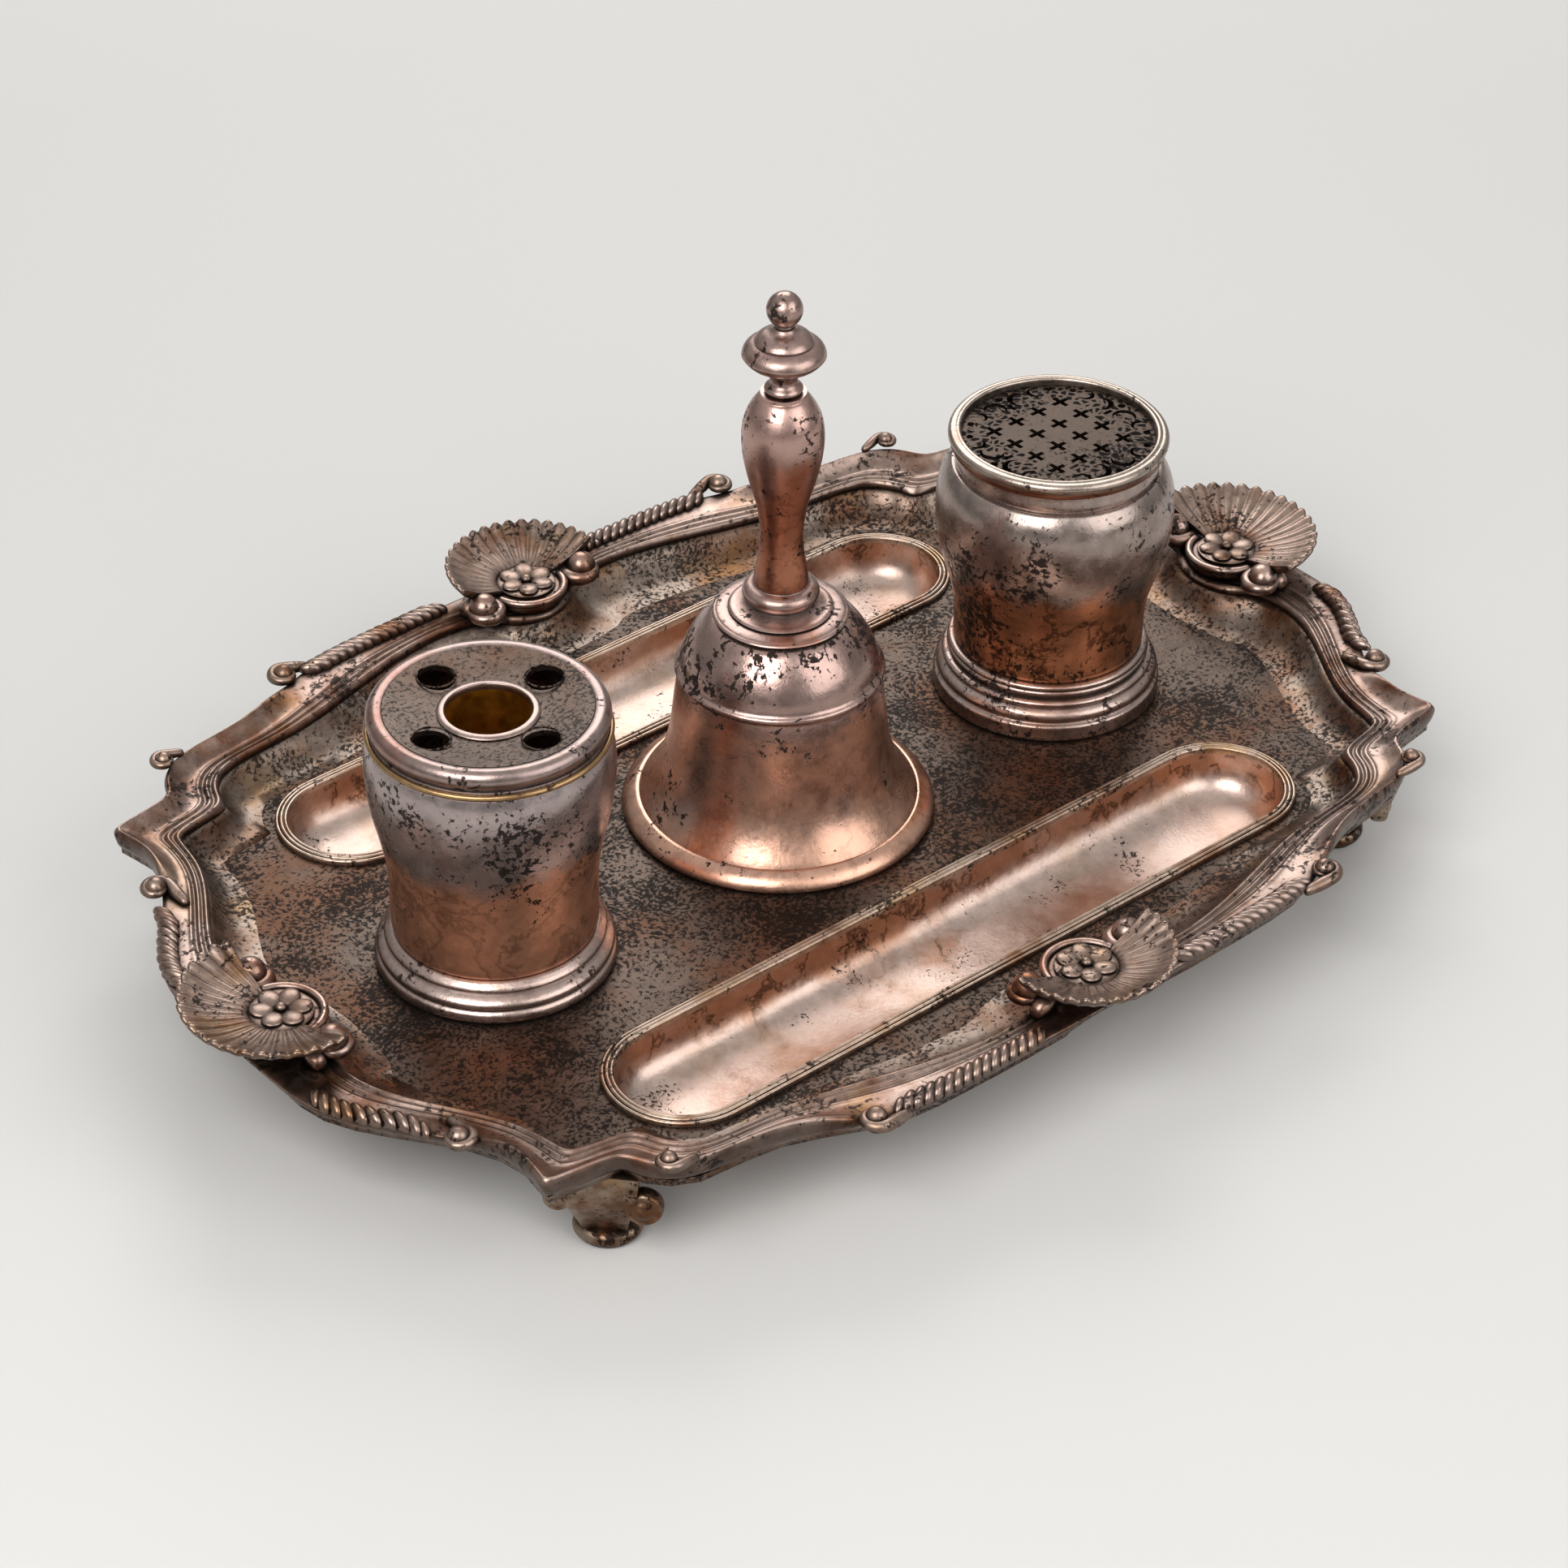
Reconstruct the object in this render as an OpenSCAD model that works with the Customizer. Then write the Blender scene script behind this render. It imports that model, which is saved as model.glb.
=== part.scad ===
// Desk inkstand: a moulded and shaped tray on four scroll feet, with two pen troughs,
// an ink pot with a lift-out gilt cup, a pounce pot with a pierced lid, and a table bell.
// Millimetres, +Z up, +X towards the pounce pot. The feet stand on z = 0.

/* [Tray] */
// Length over the middle of the two end edges
tray_l = 294; // [284:1:310]
// Width over the middle of the two side edges
tray_w = 205; // [200:1:220]
// Height of the tray floor above the table
floor_z = 19; // [17:0.5:24]
// Thickness of the tray sheet
sheet_t = 1.5; // [1.2:0.1:2]
// Height of the flange above the tray floor
wall_h = 5.6; // [5:0.2:7]
// Width of the hollow wall, measured across the side
wall_w = 12.8; // [11:0.2:14]
// How far the corner points stand in from the end edge
ear_in_x = 20; // [18:0.5:22]
// How far the corner points stand in from the side edge
ear_in_y = 27.5; // [26:0.5:29]
// How far the side line has come in where it runs into the corner curl
curl_in = 12.5; // [11:0.5:14]
// How far the notch beside the corner stands in from the end edge
notch_in_x = 37; // [35:0.5:39]
// How far the notch beside the corner stands in from the side edge
notch_in_y = 25.1; // [24:0.1:26]
// How far the narrow part of the end stands in from the end edge
waist_in = 22; // [21:0.2:23]
// Distance from the middle of the side to where its straight part begins
run_x = 22.5; // [21:0.5:24]
// Where the side line starts to sweep in, from the middle
sweep_from = 50; // [44:1:56]
// Where the sweep of the side line ends, in from the end edge
sweep_in = 58; // [56:0.5:60]

/* [Border] */
// Width of the moulded band at the middle of the side
band_w = 8; // [7:0.1:9]
// Width of the moulded band at the shoulders of the end
band_end = 13.6; // [12:0.1:15]
// Width of the moulded band at the corner curl
band_curl = 6.6; // [6:0.1:7.5]
// Length of the moulded band at the corner point
band_ear = 13.1; // [12:0.1:14]
// Height of the ledge and of the reed tops above the flange
ledge_h = 2.4; // [2:0.1:3]
// Depth of the grooves between the reeds
reed_d = 0.8; // [0.5:0.1:1.2]
// Height of the rolled edge above the ledge
bead_h = 3; // [2:0.1:4]
// Number of gadroons on each half of a side
gadroons_side = 10; // [8:1:12]
// Number of gadroons on each half of an end
gadroons_end = 7; // [6:1:9]
// Height of the gadroons above the ledge
gadroon_h = 3.4; // [2.6:0.1:4]

/* [Shells] */
// Reach of the side shells from the middle of their rosette
shell_side_r = 18.6; // [17:0.2:21]
// Reach of the end shells from the middle of their rosette
shell_end_r = 20.8; // [19:0.2:23]
// Number of flutes in each shell
flutes = 19; // [15:2:23]
// Height of the shell lip above the ledge
shell_rise = 8.6; // [6:0.2:10]
// Height of the ribs on the shells
rib_h = 1; // [0.6:0.1:1.4]
// Thickness of the shell casting
shell_t = 1.7; // [1.4:0.1:2.2]
// Radius of the rosette seat
seat_r = 8.6; // [8:0.1:9.4]
// Height of the rosette seat
seat_h = 3; // [2.4:0.1:3.6]
// Radius of the rosette
rosette_r = 7.3; // [6.6:0.1:7.6]
// Number of petals on each rosette
petals = 6; // [5:1:8]
// Distance of each volute boss from the middle of the rosette
volute_gap = 14.2; // [13.6:0.1:15.5]
// Radius of the volute bosses
volute_r = 3.6; // [3:0.1:4]
// Radius of the balls on the long edge scrolls
scroll_ball_r = 2.5; // [2:0.1:2.8]
// Radius of the balls on the small corner curls
curl_ball_r = 1.7; // [1.4:0.1:2]

/* [Feet] */
// How far the foot stands in from the end edge
foot_in_x = 43; // [42:0.5:45]
// How far the foot stands in from the side edge
foot_in_y = 36.5; // [35:0.5:37.5]
// Turn of the foot away from the length of the tray
foot_turn = 42; // [38:0.5:46]
// Radius of the round toe
toe_r = 7.4; // [6.6:0.1:8]
// Thickness of the toe
toe_t = 3.2; // [2.4:0.1:3.6]
// Width of the foot's stem
stem_w = 15.4; // [13:0.2:17]
// How deep the sides of the stem are hollowed
stem_hollow = 1.4; // [0.8:0.1:2]
// Radius of the large scroll on the stem
foot_scroll_r = 4; // [3.4:0.1:4.6]
// Height of the scrolls above the table
foot_scroll_z = 14.6; // [13:0.2:16]

/* [Pen troughs] */
// Distance from each end of a trough to the notch in the tray's edge
trough_gap = 16; // [15:0.5:24]
// Width of the trough over its rim
trough_w = 34.2; // [30:0.2:35]
// How far the middle of each trough stands in from the side edge
trough_in = 45.8; // [45.2:0.1:46.4]
// Width of the reeded rim
trough_rim = 3; // [2.6:0.1:3.6]
// Height of the reeded rim above the floor
trough_rim_h = 1.5; // [1.2:0.1:2]
// Depth of the trough below the floor
trough_d = 10; // [7:0.5:12]
// Wall of the trough
trough_t = 1.2; // [1:0.1:1.4]

/* [Ink pot] */
// How far the ink pot stands in from the end edge
ink_in_x = 66; // [64:0.5:68]
// Largest radius of the ink pot
ink_r = 26; // [25.6:0.1:27]
// Radius at the waist of the ink pot
ink_waist_r = 21.8; // [21:0.1:22.4]
// Height of the ink pot up to its lip
ink_h = 58.3; // [54:0.1:62]
// Radius of the ink pot's base
ink_base_r = 25.7; // [25:0.1:26.5]
// Height of the ink pot's base mouldings
ink_base_h = 8.7; // [8:0.1:9.4]
// Outer radius of the rim bead
ink_rim_r = 25.1; // [24.8:0.1:25.4]
// Radius of the round of the rim bead
ink_bead = 2.2; // [1.8:0.1:2.4]
// Distance of the quill holes from the middle of the top
quill_gap = 15.6; // [15:0.1:16.2]
// Diameter of the quill holes
quill_d = 7.8; // [7:0.1:8.4]
// Turn of the quill holes
quill_turn = 5.5; // [0:0.5:45]
// Dip of the pierced top towards its middle
top_dip = 1.5; // [1:0.1:1.8]
// Diameter of the opening in the ink cup
cup_d = 17.4; // [16:0.1:18]
// Depth of the ink cup
cup_depth = 34; // [28:0.5:40]
// Wall of the ink cup
cup_t = 0.6; // [0.5:0.1:0.8]

/* [Pounce pot] */
// How far the pounce pot stands in from the end edge
pounce_in_x = 69.5; // [68:0.5:72]
// Largest radius of the pounce pot
pounce_r = 26.9; // [26:0.1:27.5]
// Radius at the waist of the pounce pot
pounce_waist_r = 21.6; // [20.6:0.1:22]
// Height of the pounce pot up to its shoulder
pounce_h = 58.4; // [54:0.1:62]
// Radius of the pounce pot's base
pounce_base_r = 25.9; // [25.4:0.1:26.9]
// Height of the pounce pot's base mouldings
pounce_base_h = 13; // [12:0.1:14]
// Radius of the neck that carries the lid
neck_r = 22.6; // [22:0.1:23]
// Height of the neck above the shoulder
neck_h = 4.4; // [3.6:0.1:5]
// Outer radius of the lid's rim bead
lid_rim_r = 24.6; // [24.2:0.1:25]
// Radius of the round of the lid's rim bead
lid_bead = 2; // [1.7:0.1:2.2]
// Thickness of the pierced plate
grille_t = 1.1; // [0.9:0.1:1.4]
// Pitch of the square diaper in the pierced plate
diaper_pitch = 6.7; // [6.2:0.1:7]
// Length of each arm of a piercing
pierce_arm = 2.2; // [1.8:0.1:2.5]
// Width of each arm of a piercing
pierce_w = 1.1; // [0.9:0.1:1.3]

/* [Pots] */
// Wall of both pots
pot_t = 1.2; // [1:0.1:1.4]
// Running clearance of skirts, cups and pins
fit_gap = 0.3; // [0.25:0.05:0.4]
// Depth of the skirts under the ink top and the pounce lid
skirt_h = 3.6; // [3:0.1:5]

/* [Bell] */
// Place of the bell along the tray, from the middle
bell_x = -1; // [-2:0.5:1]
// Place of the bell across the tray, from the middle
bell_y = 2.5; // [-2:0.5:3]
// Radius of the bell's lip
lip_r = 34.6; // [32:0.1:35]
// Radius at the waist of the bell
bell_waist_r = 22.9; // [22:0.1:24]
// Height of the bell up to its crown
bell_h = 50.2; // [48:0.1:54]
// Wall of the bell
bell_t = 1.5; // [1.2:0.1:2]
// Radius of the crown rings
crown_r = 14.3; // [13:0.1:15]
// Height of the crown rings with their boss
crown_h = 8; // [7:0.1:9]
// Height of the bell's handle
handle_h = 46.5; // [44:0.5:50]
// Largest radius of the handle
handle_r = 8.9; // [8:0.1:9.6]
// Radius of the handle's waist
handle_waist_r = 4.5; // [4:0.1:5]
// Radius of the knop above the handle
knop_r = 8.9; // [8:0.1:9.6]
// Height of the knop
knop_h = 15.2; // [14:0.1:17]
// Radius of the ball on top
finial_r = 3.9; // [3.4:0.1:4.4]
// Radius of the stud through the crown
stud_r = 2; // [1.8:0.1:2.4]
// Depth of the clapper's pivot below the crown
pivot_drop = 9; // [8:0.5:11]
// Radius of the clapper's pin
pin_r = 1.1; // [0.9:0.1:1.2]
// Distance from the pivot to the middle of the clapper ball
clapper_l = 27; // [24:0.5:29]
// Radius of the clapper ball
clapper_r = 5; // [4:0.1:5.5]

/* [Hidden] */
$fn = 64;

silver = "#b9aba3";
worn = "#a8785c";
gilt = "#b08a3c";

// heights of the flange, the ledge and the seats
flange_z = floor_z + wall_h;
ledge_z = flange_z + ledge_h;
seat_z = ledge_z + seat_h;

function mix(a, b, t) = a + (b - a) * t;
function ease(t) = (1 - cos(180 * t)) / 2;
function turned(p) = [for (i = [len(p) - 1:-1:0]) p[i]];

// a smooth line through the given points, in n steps between each two
function curve(p, n = 4) = concat(
  [for (i = [0:len(p) - 2], k = [0:n - 1]) let(t = k / n,
    a = p[max(0, i - 1)], b = p[i], c = p[i + 1], d = p[min(len(p) - 1, i + 2)])
    (2 * b + (c - a) * t + (2 * a - 5 * b + 4 * c - d) * t * t + (3 * b - a - 3 * c + d) * t * t * t) / 2],
  [p[len(p) - 1]]);

// points round an arc
function arc(middle, r, from, to, n = 6) =
  [for (k = [0:n]) let(a = mix(from, to, k / n)) middle + r * [cos(a), sin(a)]];

// the two radii of each point moved in by the wall
function inside(p, t) = [for (q = p) [q[0] - t, q[1]]];

// the rosettes sit over the band, where its reeds curve round them
rose_y = tray_w / 2 - band_w - 1;
rose_x = tray_l / 2 - band_end + 2;
trough_y = tray_w / 2 - trough_in;
trough_l = 2 * (tray_l / 2 - notch_in_x - trough_gap);
ink_x = tray_l / 2 - ink_in_x;
pounce_x = tray_l / 2 - pounce_in_x;
bulge_r = seat_r + 1.6;

// One quarter of a line round the tray, from the middle of the side to the middle of the end.
// side, ends: distance of the line at the two middles; curl: where it meets the corner curl
// run: where the sweep along the side starts and stops; n: notch, t: corner point, w: waist
// dip: how far the line swings in round the rosettes, on the side and on the end
// reach: half the width of that swing
function quarter(side, ends, curl, run, n, t, w, end_y, dip, reach) = concat(
  [for (a = [0, 0.3, 0.62, 0.92]) [reach * sin(90 * a), side - dip[0] * cos(90 * a)]],
  [for (i = [0:8]) let(x = mix(run_x, run[1], i / 8))
    [x, mix(side, curl, ease(max(0, x - run[0]) / (run[1] - run[0])))]],
  [for (a = [22.5:22.5:67.5]) [mix(run[1] + 4, n[0], sin(a)), mix(n[1], curl, cos(a))]],
  [n, mix(n, t, 0.5), t, [mix(t[0], w[0], 0.55), mix(t[1], w[1], 0.5)]],
  [for (i = [0:7]) [mix(w[0], ends, ease(i / 7)), mix(w[1], end_y, i / 7)]],
  [for (a = [0.92, 0.62, 0.3, 0]) [ends - dip[1] * cos(90 * a), reach * sin(90 * a)]]
);

// The whole line, anticlockwise, with the shared middle points taken once
function whole(q) = let(
    n = len(q),
    a = [for (i = [0:n - 2]) [q[i][0], -q[i][1]]],
    b = [for (i = [n - 1:-1:1]) q[i]],
    c = [for (i = [0:n - 2]) [-q[i][0], q[i][1]]],
    d = [for (i = [n - 1:-1:1]) [-q[i][0], -q[i][1]]]
  ) concat(a, b, c, d);

half_l = tray_l / 2;
half_w = tray_w / 2;
curl_y = half_w - curl_in;
sweep_to = half_l - sweep_in;
tip = [half_l - ear_in_x, half_w - ear_in_y];
notch = [half_l - notch_in_x, half_w - notch_in_y];
// the shoulder of the end, where it leaves the rosette
shoulder_y = 19.8;
edge_q = quarter(half_w, half_l, curl_y, [sweep_from, sweep_to], notch, tip,
  [half_l - waist_in, notch[1] - 12.4], shoulder_y, [0, 0], 13);
ridge_q = quarter(half_w - band_w, half_l - band_end, curl_y - band_curl, [run_x, sweep_to - 7],
  notch - [10, 7.2], tip - [band_ear, 7.2], [half_l - waist_in - 9.5, notch[1] - 14.4], shoulder_y,
  [bulge_r, bulge_r - 2.2], bulge_r + 1.8);
foot_q = quarter(half_w - band_w - wall_w, half_l - band_end - wall_w + 2,
  curl_y - band_curl - 7.8, [run_x, sweep_to - 11], notch - [16.4, 13.5], tip - [band_ear + 6.3, 13.1],
  [half_l - waist_in - 16.4, notch[1] - 20], shoulder_y - 1.8, [4, 4], 19);
edge = whole(edge_q);
ridge = whole(ridge_q);
foot_line = whole(foot_q);
stations = len(edge);

// where each station carries the rolled edge: all along the corner, from the scroll
// on the side to the scroll on the end
bead_q = [for (i = [0:len(edge_q) - 1]) i < 10 ? 0 : i < 22 ? 1 : 0];
bead_line = let(r = turned(bead_q), n = len(bead_q)) concat(
  [for (i = [0:n - 2]) bead_q[i]], [for (i = [0:n - 2]) r[i]],
  [for (i = [0:n - 2]) bead_q[i]], [for (i = [0:n - 2]) r[i]]);

// A closed ring of sections, one per station
module ring_loft(sections) {
  n = len(sections);
  m = len(sections[0]);
  polyhedron(
    points = [for (s = sections) for (p = s) p],
    faces = [for (i = [0:n - 1], j = [0:m - 1])
      let(a = i * m, b = ((i + 1) % n) * m, k = (j + 1) % m)
      each [[a + j, b + j, b + k], [a + j, b + k, a + k]]]
  );
}

// An open run of sections, closed at both ends
module run_loft(sections) {
  n = len(sections);
  m = len(sections[0]);
  polyhedron(
    points = [for (s = sections) for (p = s) p],
    faces = concat(
      [for (i = [0:n - 2], j = [0:m - 1])
        let(a = i * m, b = a + m, k = (j + 1) % m)
        each [[a + j, b + j, b + k], [a + j, b + k, a + k]]],
      [[for (j = [0:m - 1]) j]],
      [[for (j = [m - 1:-1:0]) (n - 1) * m + j]]
    )
  );
}

function at_z(p, z) = [p[0], p[1], z];

// ---------------------------------------------------------------- tray

// the hollow wall that rises from the floor, and the flange round it
module tray_wall() color(silver) {
  // share of the way out, and share of the height there
  cove = [[0.32, 0.06], [0.58, 0.24], [0.78, 0.5], [0.92, 0.8]];
  ring_loft([for (i = [0:stations - 1])
    let(f = foot_line[i], r = ridge[i], e = edge[i], far = mix(r, e, 0.86),
      o = (r - f) * (sheet_t / norm(r - f)))
    concat([at_z(f, floor_z - sheet_t)],
      [for (c = [cove[1], cove[2]]) at_z(mix(f, r, c[0]) + o * 0.5, floor_z + wall_h * c[1] - sheet_t)],
      [at_z(r + o * 0.6, flange_z - sheet_t), at_z(far, flange_z - sheet_t), at_z(far, flange_z),
        at_z(r, flange_z)],
      [for (c = turned(cove)) at_z(mix(f, r, c[0]), floor_z + wall_h * c[1])], [at_z(f, floor_z)])]);
}

// the floor sheet, with a hole for each trough
module tray_floor() color(silver) translate([0, 0, floor_z - sheet_t]) linear_extrude(sheet_t)
  difference() {
    polygon(foot_line);
    for (s = [-1, 1]) translate([0, s * trough_y]) trough_hole();
  }

// the outline of the hole for one trough
module trough_hole() {
  r = trough_w / 2 - trough_rim + trough_t;
  half = trough_l / 2 - trough_w / 2;
  square([2 * half, 2 * r], center = true);
  for (s = [-1, 1]) translate([s * half, 0]) circle(r);
}

// the cast band: reeds inside, a hollow, then a ledge or a rolled edge
module border_moulding() color(silver) {
  ring_loft([for (i = [0:stations - 1])
    let(r = ridge[i], e = edge[i], b = bead_line[i] * bead_h, z = ledge_z, g = z - reed_d)
    [at_z(r, flange_z), at_z(mix(r, e, 0.93), flange_z), at_z(e, z - 1 + b * 0.5),
      at_z(e, z - 0.3 + b * 0.8), at_z(mix(r, e, 0.93), z + b), at_z(mix(r, e, 0.82), z + b * 0.62),
      at_z(mix(r, e, 0.62), z + b * 0.08), at_z(mix(r, e, 0.46), z - reed_d * 0.4),
      at_z(mix(r, e, 0.4), z), at_z(mix(r, e, 0.31), g), at_z(mix(r, e, 0.24), z),
      at_z(mix(r, e, 0.16), g), at_z(mix(r, e, 0.09), z), at_z(r, g)]]);
}

// a pressed trough: reeded rim on the floor, sloping sides and a rounded bottom
module pen_trough() {
  w = trough_w / 2;
  i = w - trough_rim;
  reed = trough_rim / 6.4;
  h = trough_rim_h;
  d = trough_d;
  side = i + trough_t - 0.1;
  hollow = [[i - 0.1, 0], [i - 0.5, -d * 0.3], [i * 0.92, -d * 0.58], [i * 0.75, -d * 0.84],
    [i * 0.42, -d * 0.97], [0, -d]];
  reeds = [for (k = [0:2]) each arc([w - reed * (1.2 + 2 * k), h - reed * (k == 0 ? 1.5 : 1)], reed,
    k == 0 ? 0 : 20, 160, 4)];
  prof = concat([[0, -d - trough_t], [i * 0.5, -d * 0.97 - trough_t], [i * 0.84, -d * 0.8 - trough_t],
    [side, -d * 0.5], [side, 0], [w, 0]], reeds, curve(hollow, 3));
  half = trough_l / 2 - w;
  color(silver) union() {
    rotate([90, 0, 90]) translate([0, 0, -half]) linear_extrude(2 * half) union() {
      polygon(prof);
      mirror([1, 0]) polygon(prof);
    }
    translate([half, 0, 0]) rotate([0, 0, -90]) rotate_extrude(angle = 180) polygon(prof);
    translate([-half, 0, 0]) rotate([0, 0, 90]) rotate_extrude(angle = 180) polygon(prof);
  }
}

module pen_trough_front() translate([0, -trough_y, floor_z]) pen_trough();
module pen_trough_back() translate([0, trough_y, floor_z]) pen_trough();

// places of the four rosettes, each turned so that its shell opens outwards
module on_front() translate([0, -rose_y, 0]) rotate([0, 0, 180]) children();
module on_back() translate([0, rose_y, 0]) children();
module on_left() translate([-rose_x, 0, 0]) rotate([0, 0, 90]) children();
module on_right() translate([rose_x, 0, 0]) rotate([0, 0, -90]) children();

// a fan shell: ribs spread from the rosette up a hollow rise to a scalloped, rolled lip
module shell(reach) {
  n = flutes * 2;
  // share of the way from the seat to the lip, share of the rise, share of the rib height
  rows = [[-0.13, 0, 0], [0.04, 0.05, 0.3], [0.34, 0.2, 0.8], [0.64, 0.5, 1], [0.88, 0.86, 1],
    [1, 1, 1], [1.03, 0.84, 0.9]];
  foot_rows = [[0.98, 0.66], [0.84, 0.5], [0.6, 0.24], [0.3, 0.02], [-0.13, -0.12]];
  rise = shell_rise - seat_h - shell_t;
  base = seat_z + shell_t;
  function spot(a, share, z, grow) = let(d = mix(seat_r, reach, share) + grow) [d * cos(a), d * sin(a), z];
  color(silver) run_loft([for (j = [n:-1:0]) let(a = mix(-4, 184, j / n), rib = j % 2)
    concat([for (r = rows) spot(a, r[0], base + r[1] * rise + (rib - 0.3) * r[2] * rib_h,
        (r[0] > 0.8 ? (rib - 0.5) * rib_h * 0.7 : 0))],
      [for (r = foot_rows) spot(a, r[0], seat_z + max(0, r[1]) * rise + (r[0] > 0.8 ? 0.4 : 0), 0)])]);
}

module shell_front() on_front() shell(shell_side_r);
module shell_back() on_back() shell(shell_side_r);
module shell_left() on_left() shell(shell_end_r);
module shell_right() on_right() shell(shell_end_r);

// the round seat on the band with its rolled rim, and a volute at either hand
module seat() color(silver) union() {
  roll = 0.7;
  translate([0, 0, ledge_z]) cylinder(r = seat_r, h = seat_h);
  translate([0, 0, seat_z]) rotate([0, 0, 190]) rotate_extrude(angle = 160)
    polygon(concat([[seat_r - 0.15, -0.6]], arc([seat_r - 0.15 - roll, 0], roll, 0, 180, 6),
      [[seat_r - 0.15 - 2 * roll, -0.6]]));
  for (s = [-1, 1]) {
    translate([s * volute_gap, 0, ledge_z]) volute(volute_r, seat_h * 0.8);
    translate([s * volute_gap / 2 - volute_gap / 2, -1.6, ledge_z])
      cube([volute_gap, 3.2, seat_h * 0.5]);
  }
}

// a round boss: a rolled ring and a ball in its middle
module volute(r, h) {
  ring = r * 0.26;
  rotate_extrude() polygon(concat([[0, 0], [r, 0]], arc([r - ring, h - ring], ring, 0, 150, 5),
    [[r * 0.5, h - ring * 1.2]], arc([0, h - ring], r * 0.46, 10, 90, 4)));
}

module seat_front() on_front() seat();
module seat_back() on_back() seat();
module seat_left() on_left() seat();
module seat_right() on_right() seat();

// a round flower: domed petals round a bead, in a raised rim
module rosette() color(silver) {
  r = seat_r - 1.6 - 0.05;
  rim = 0.9;
  petal_r = (r - rim) * 0.37;
  difference() {
    union() {
      translate([0, 0, seat_z]) cylinder(r = r, h = rim);
      translate([0, 0, seat_z + rim]) rotate_extrude() translate([min(rosette_r, r) - rim * 0.6, 0])
        circle(rim * 0.6, $fn = 16);
      for (i = [0:petals - 1]) rotate([0, 0, 360 * i / petals])
        translate([(r - rim) * 0.62, 0, seat_z + rim - petal_r * 0.35]) sphere(petal_r, $fn = 24);
      translate([0, 0, seat_z + rim]) sphere(rosette_r * 0.22, $fn = 24);
    }
    translate([0, 0, seat_z - 2 * petal_r]) cylinder(r = seat_r, h = 2 * petal_r);
  }
}

module rosette_front() on_front() rosette();
module rosette_back() on_back() rosette();
module rosette_left() on_left() rosette();
module rosette_right() on_right() rosette();

// the point at share t of a run of stations
function along(line, first, last, t) =
  let(s = mix(first, last, t), i = floor(s)) mix(line[i], line[i + 1], s - i);

// a run of slanting gadroons on the ledge, each a rounded lobe
module gadroons(first, last, count) {
  steps = 4;
  n = count * steps;
  lobes = [0.5, 0.88, 1, 0.88];
  slant = 0.6 / count;
  color(silver) run_loft([for (j = [0:n])
    let(t = j / n, u = min(1, t + slant), v = min(1, t + slant / 2), h = gadroon_h * lobes[j % steps],
      e = along(edge_q, first, last, t), r = along(ridge_q, first, last, t),
      r1 = along(ridge_q, first, last, v), e1 = along(edge_q, first, last, v),
      r2 = along(ridge_q, first, last, u), e2 = along(edge_q, first, last, u))
    [at_z(mix(r, e, 0.66), ledge_z), at_z(mix(r, e, 0.99), ledge_z),
      at_z(mix(r, e, 0.98 + 0.05 * h / gadroon_h), ledge_z + h * 0.5),
      at_z(mix(r, e, 0.93), ledge_z + h * 0.9), at_z(mix(r1, e1, 0.82), ledge_z + h),
      at_z(mix(r2, e2, 0.71), ledge_z + h * 0.62)]]);
}

// the stations between which the gadroons run
side_first = 3.65;
side_last = 8.3;
end_first = 22.85;
end_last = 26.6;
module gadroons_back_right() gadroons(side_first, side_last, gadroons_side);
module gadroons_back_left() mirror([1, 0, 0]) gadroons(side_first, side_last, gadroons_side);
module gadroons_front_right() mirror([0, 1, 0]) gadroons(side_first, side_last, gadroons_side);
module gadroons_front_left() rotate([0, 0, 180]) gadroons(side_first, side_last, gadroons_side);
module gadroons_right_back() gadroons(end_first, end_last, gadroons_end);
module gadroons_left_back() mirror([1, 0, 0]) gadroons(end_first, end_last, gadroons_end);
module gadroons_right_front() mirror([0, 1, 0]) gadroons(end_first, end_last, gadroons_end);
module gadroons_left_front() rotate([0, 0, 180]) gadroons(end_first, end_last, gadroons_end);

// a leaf scroll: a curved stem that ends in a volute with a ball
module scroll(p, turn, ball, up = 0) color(silver) translate(at_z(p, ledge_z + up))
  rotate([0, 0, turn]) union() {
  translate([-1.4, -3.4, 0]) cube([2.8, 4.8, 1.8]);
  translate([0, -0.6, 1.8]) sphere(1.3, $fn = 24);
  translate([0, ball + 0.4, 0]) cylinder(r = ball + 0.4, h = 1.2);
  translate([0, ball + 0.4, 1.4]) rotate_extrude() translate([ball - 0.2, 0]) circle(0.6, $fn = 16);
  translate([0, ball + 0.4, 1.9]) sphere(ball * 0.86, $fn = 32);
}

module scroll_back_right() scroll(mix(edge_q[8], edge_q[9], 0.85), -40, scroll_ball_r);
module scroll_back_left() mirror([1, 0, 0]) scroll_back_right();
module scroll_front_right() mirror([0, 1, 0]) scroll_back_right();
module scroll_front_left() rotate([0, 0, 180]) scroll_back_right();
module scroll_right_back() scroll(mix(edge_q[22], edge_q[23], 0.1), -37, scroll_ball_r);
module scroll_left_back() mirror([1, 0, 0]) scroll_right_back();
module scroll_right_front() mirror([0, 1, 0]) scroll_right_back();
module scroll_left_front() rotate([0, 0, 180]) scroll_right_back();
module curl_back_right() scroll(edge_q[14], -42, curl_ball_r, bead_h);
module curl_back_left() mirror([1, 0, 0]) curl_back_right();
module curl_front_right() mirror([0, 1, 0]) curl_back_right();
module curl_front_left() rotate([0, 0, 180]) curl_back_right();

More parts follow.
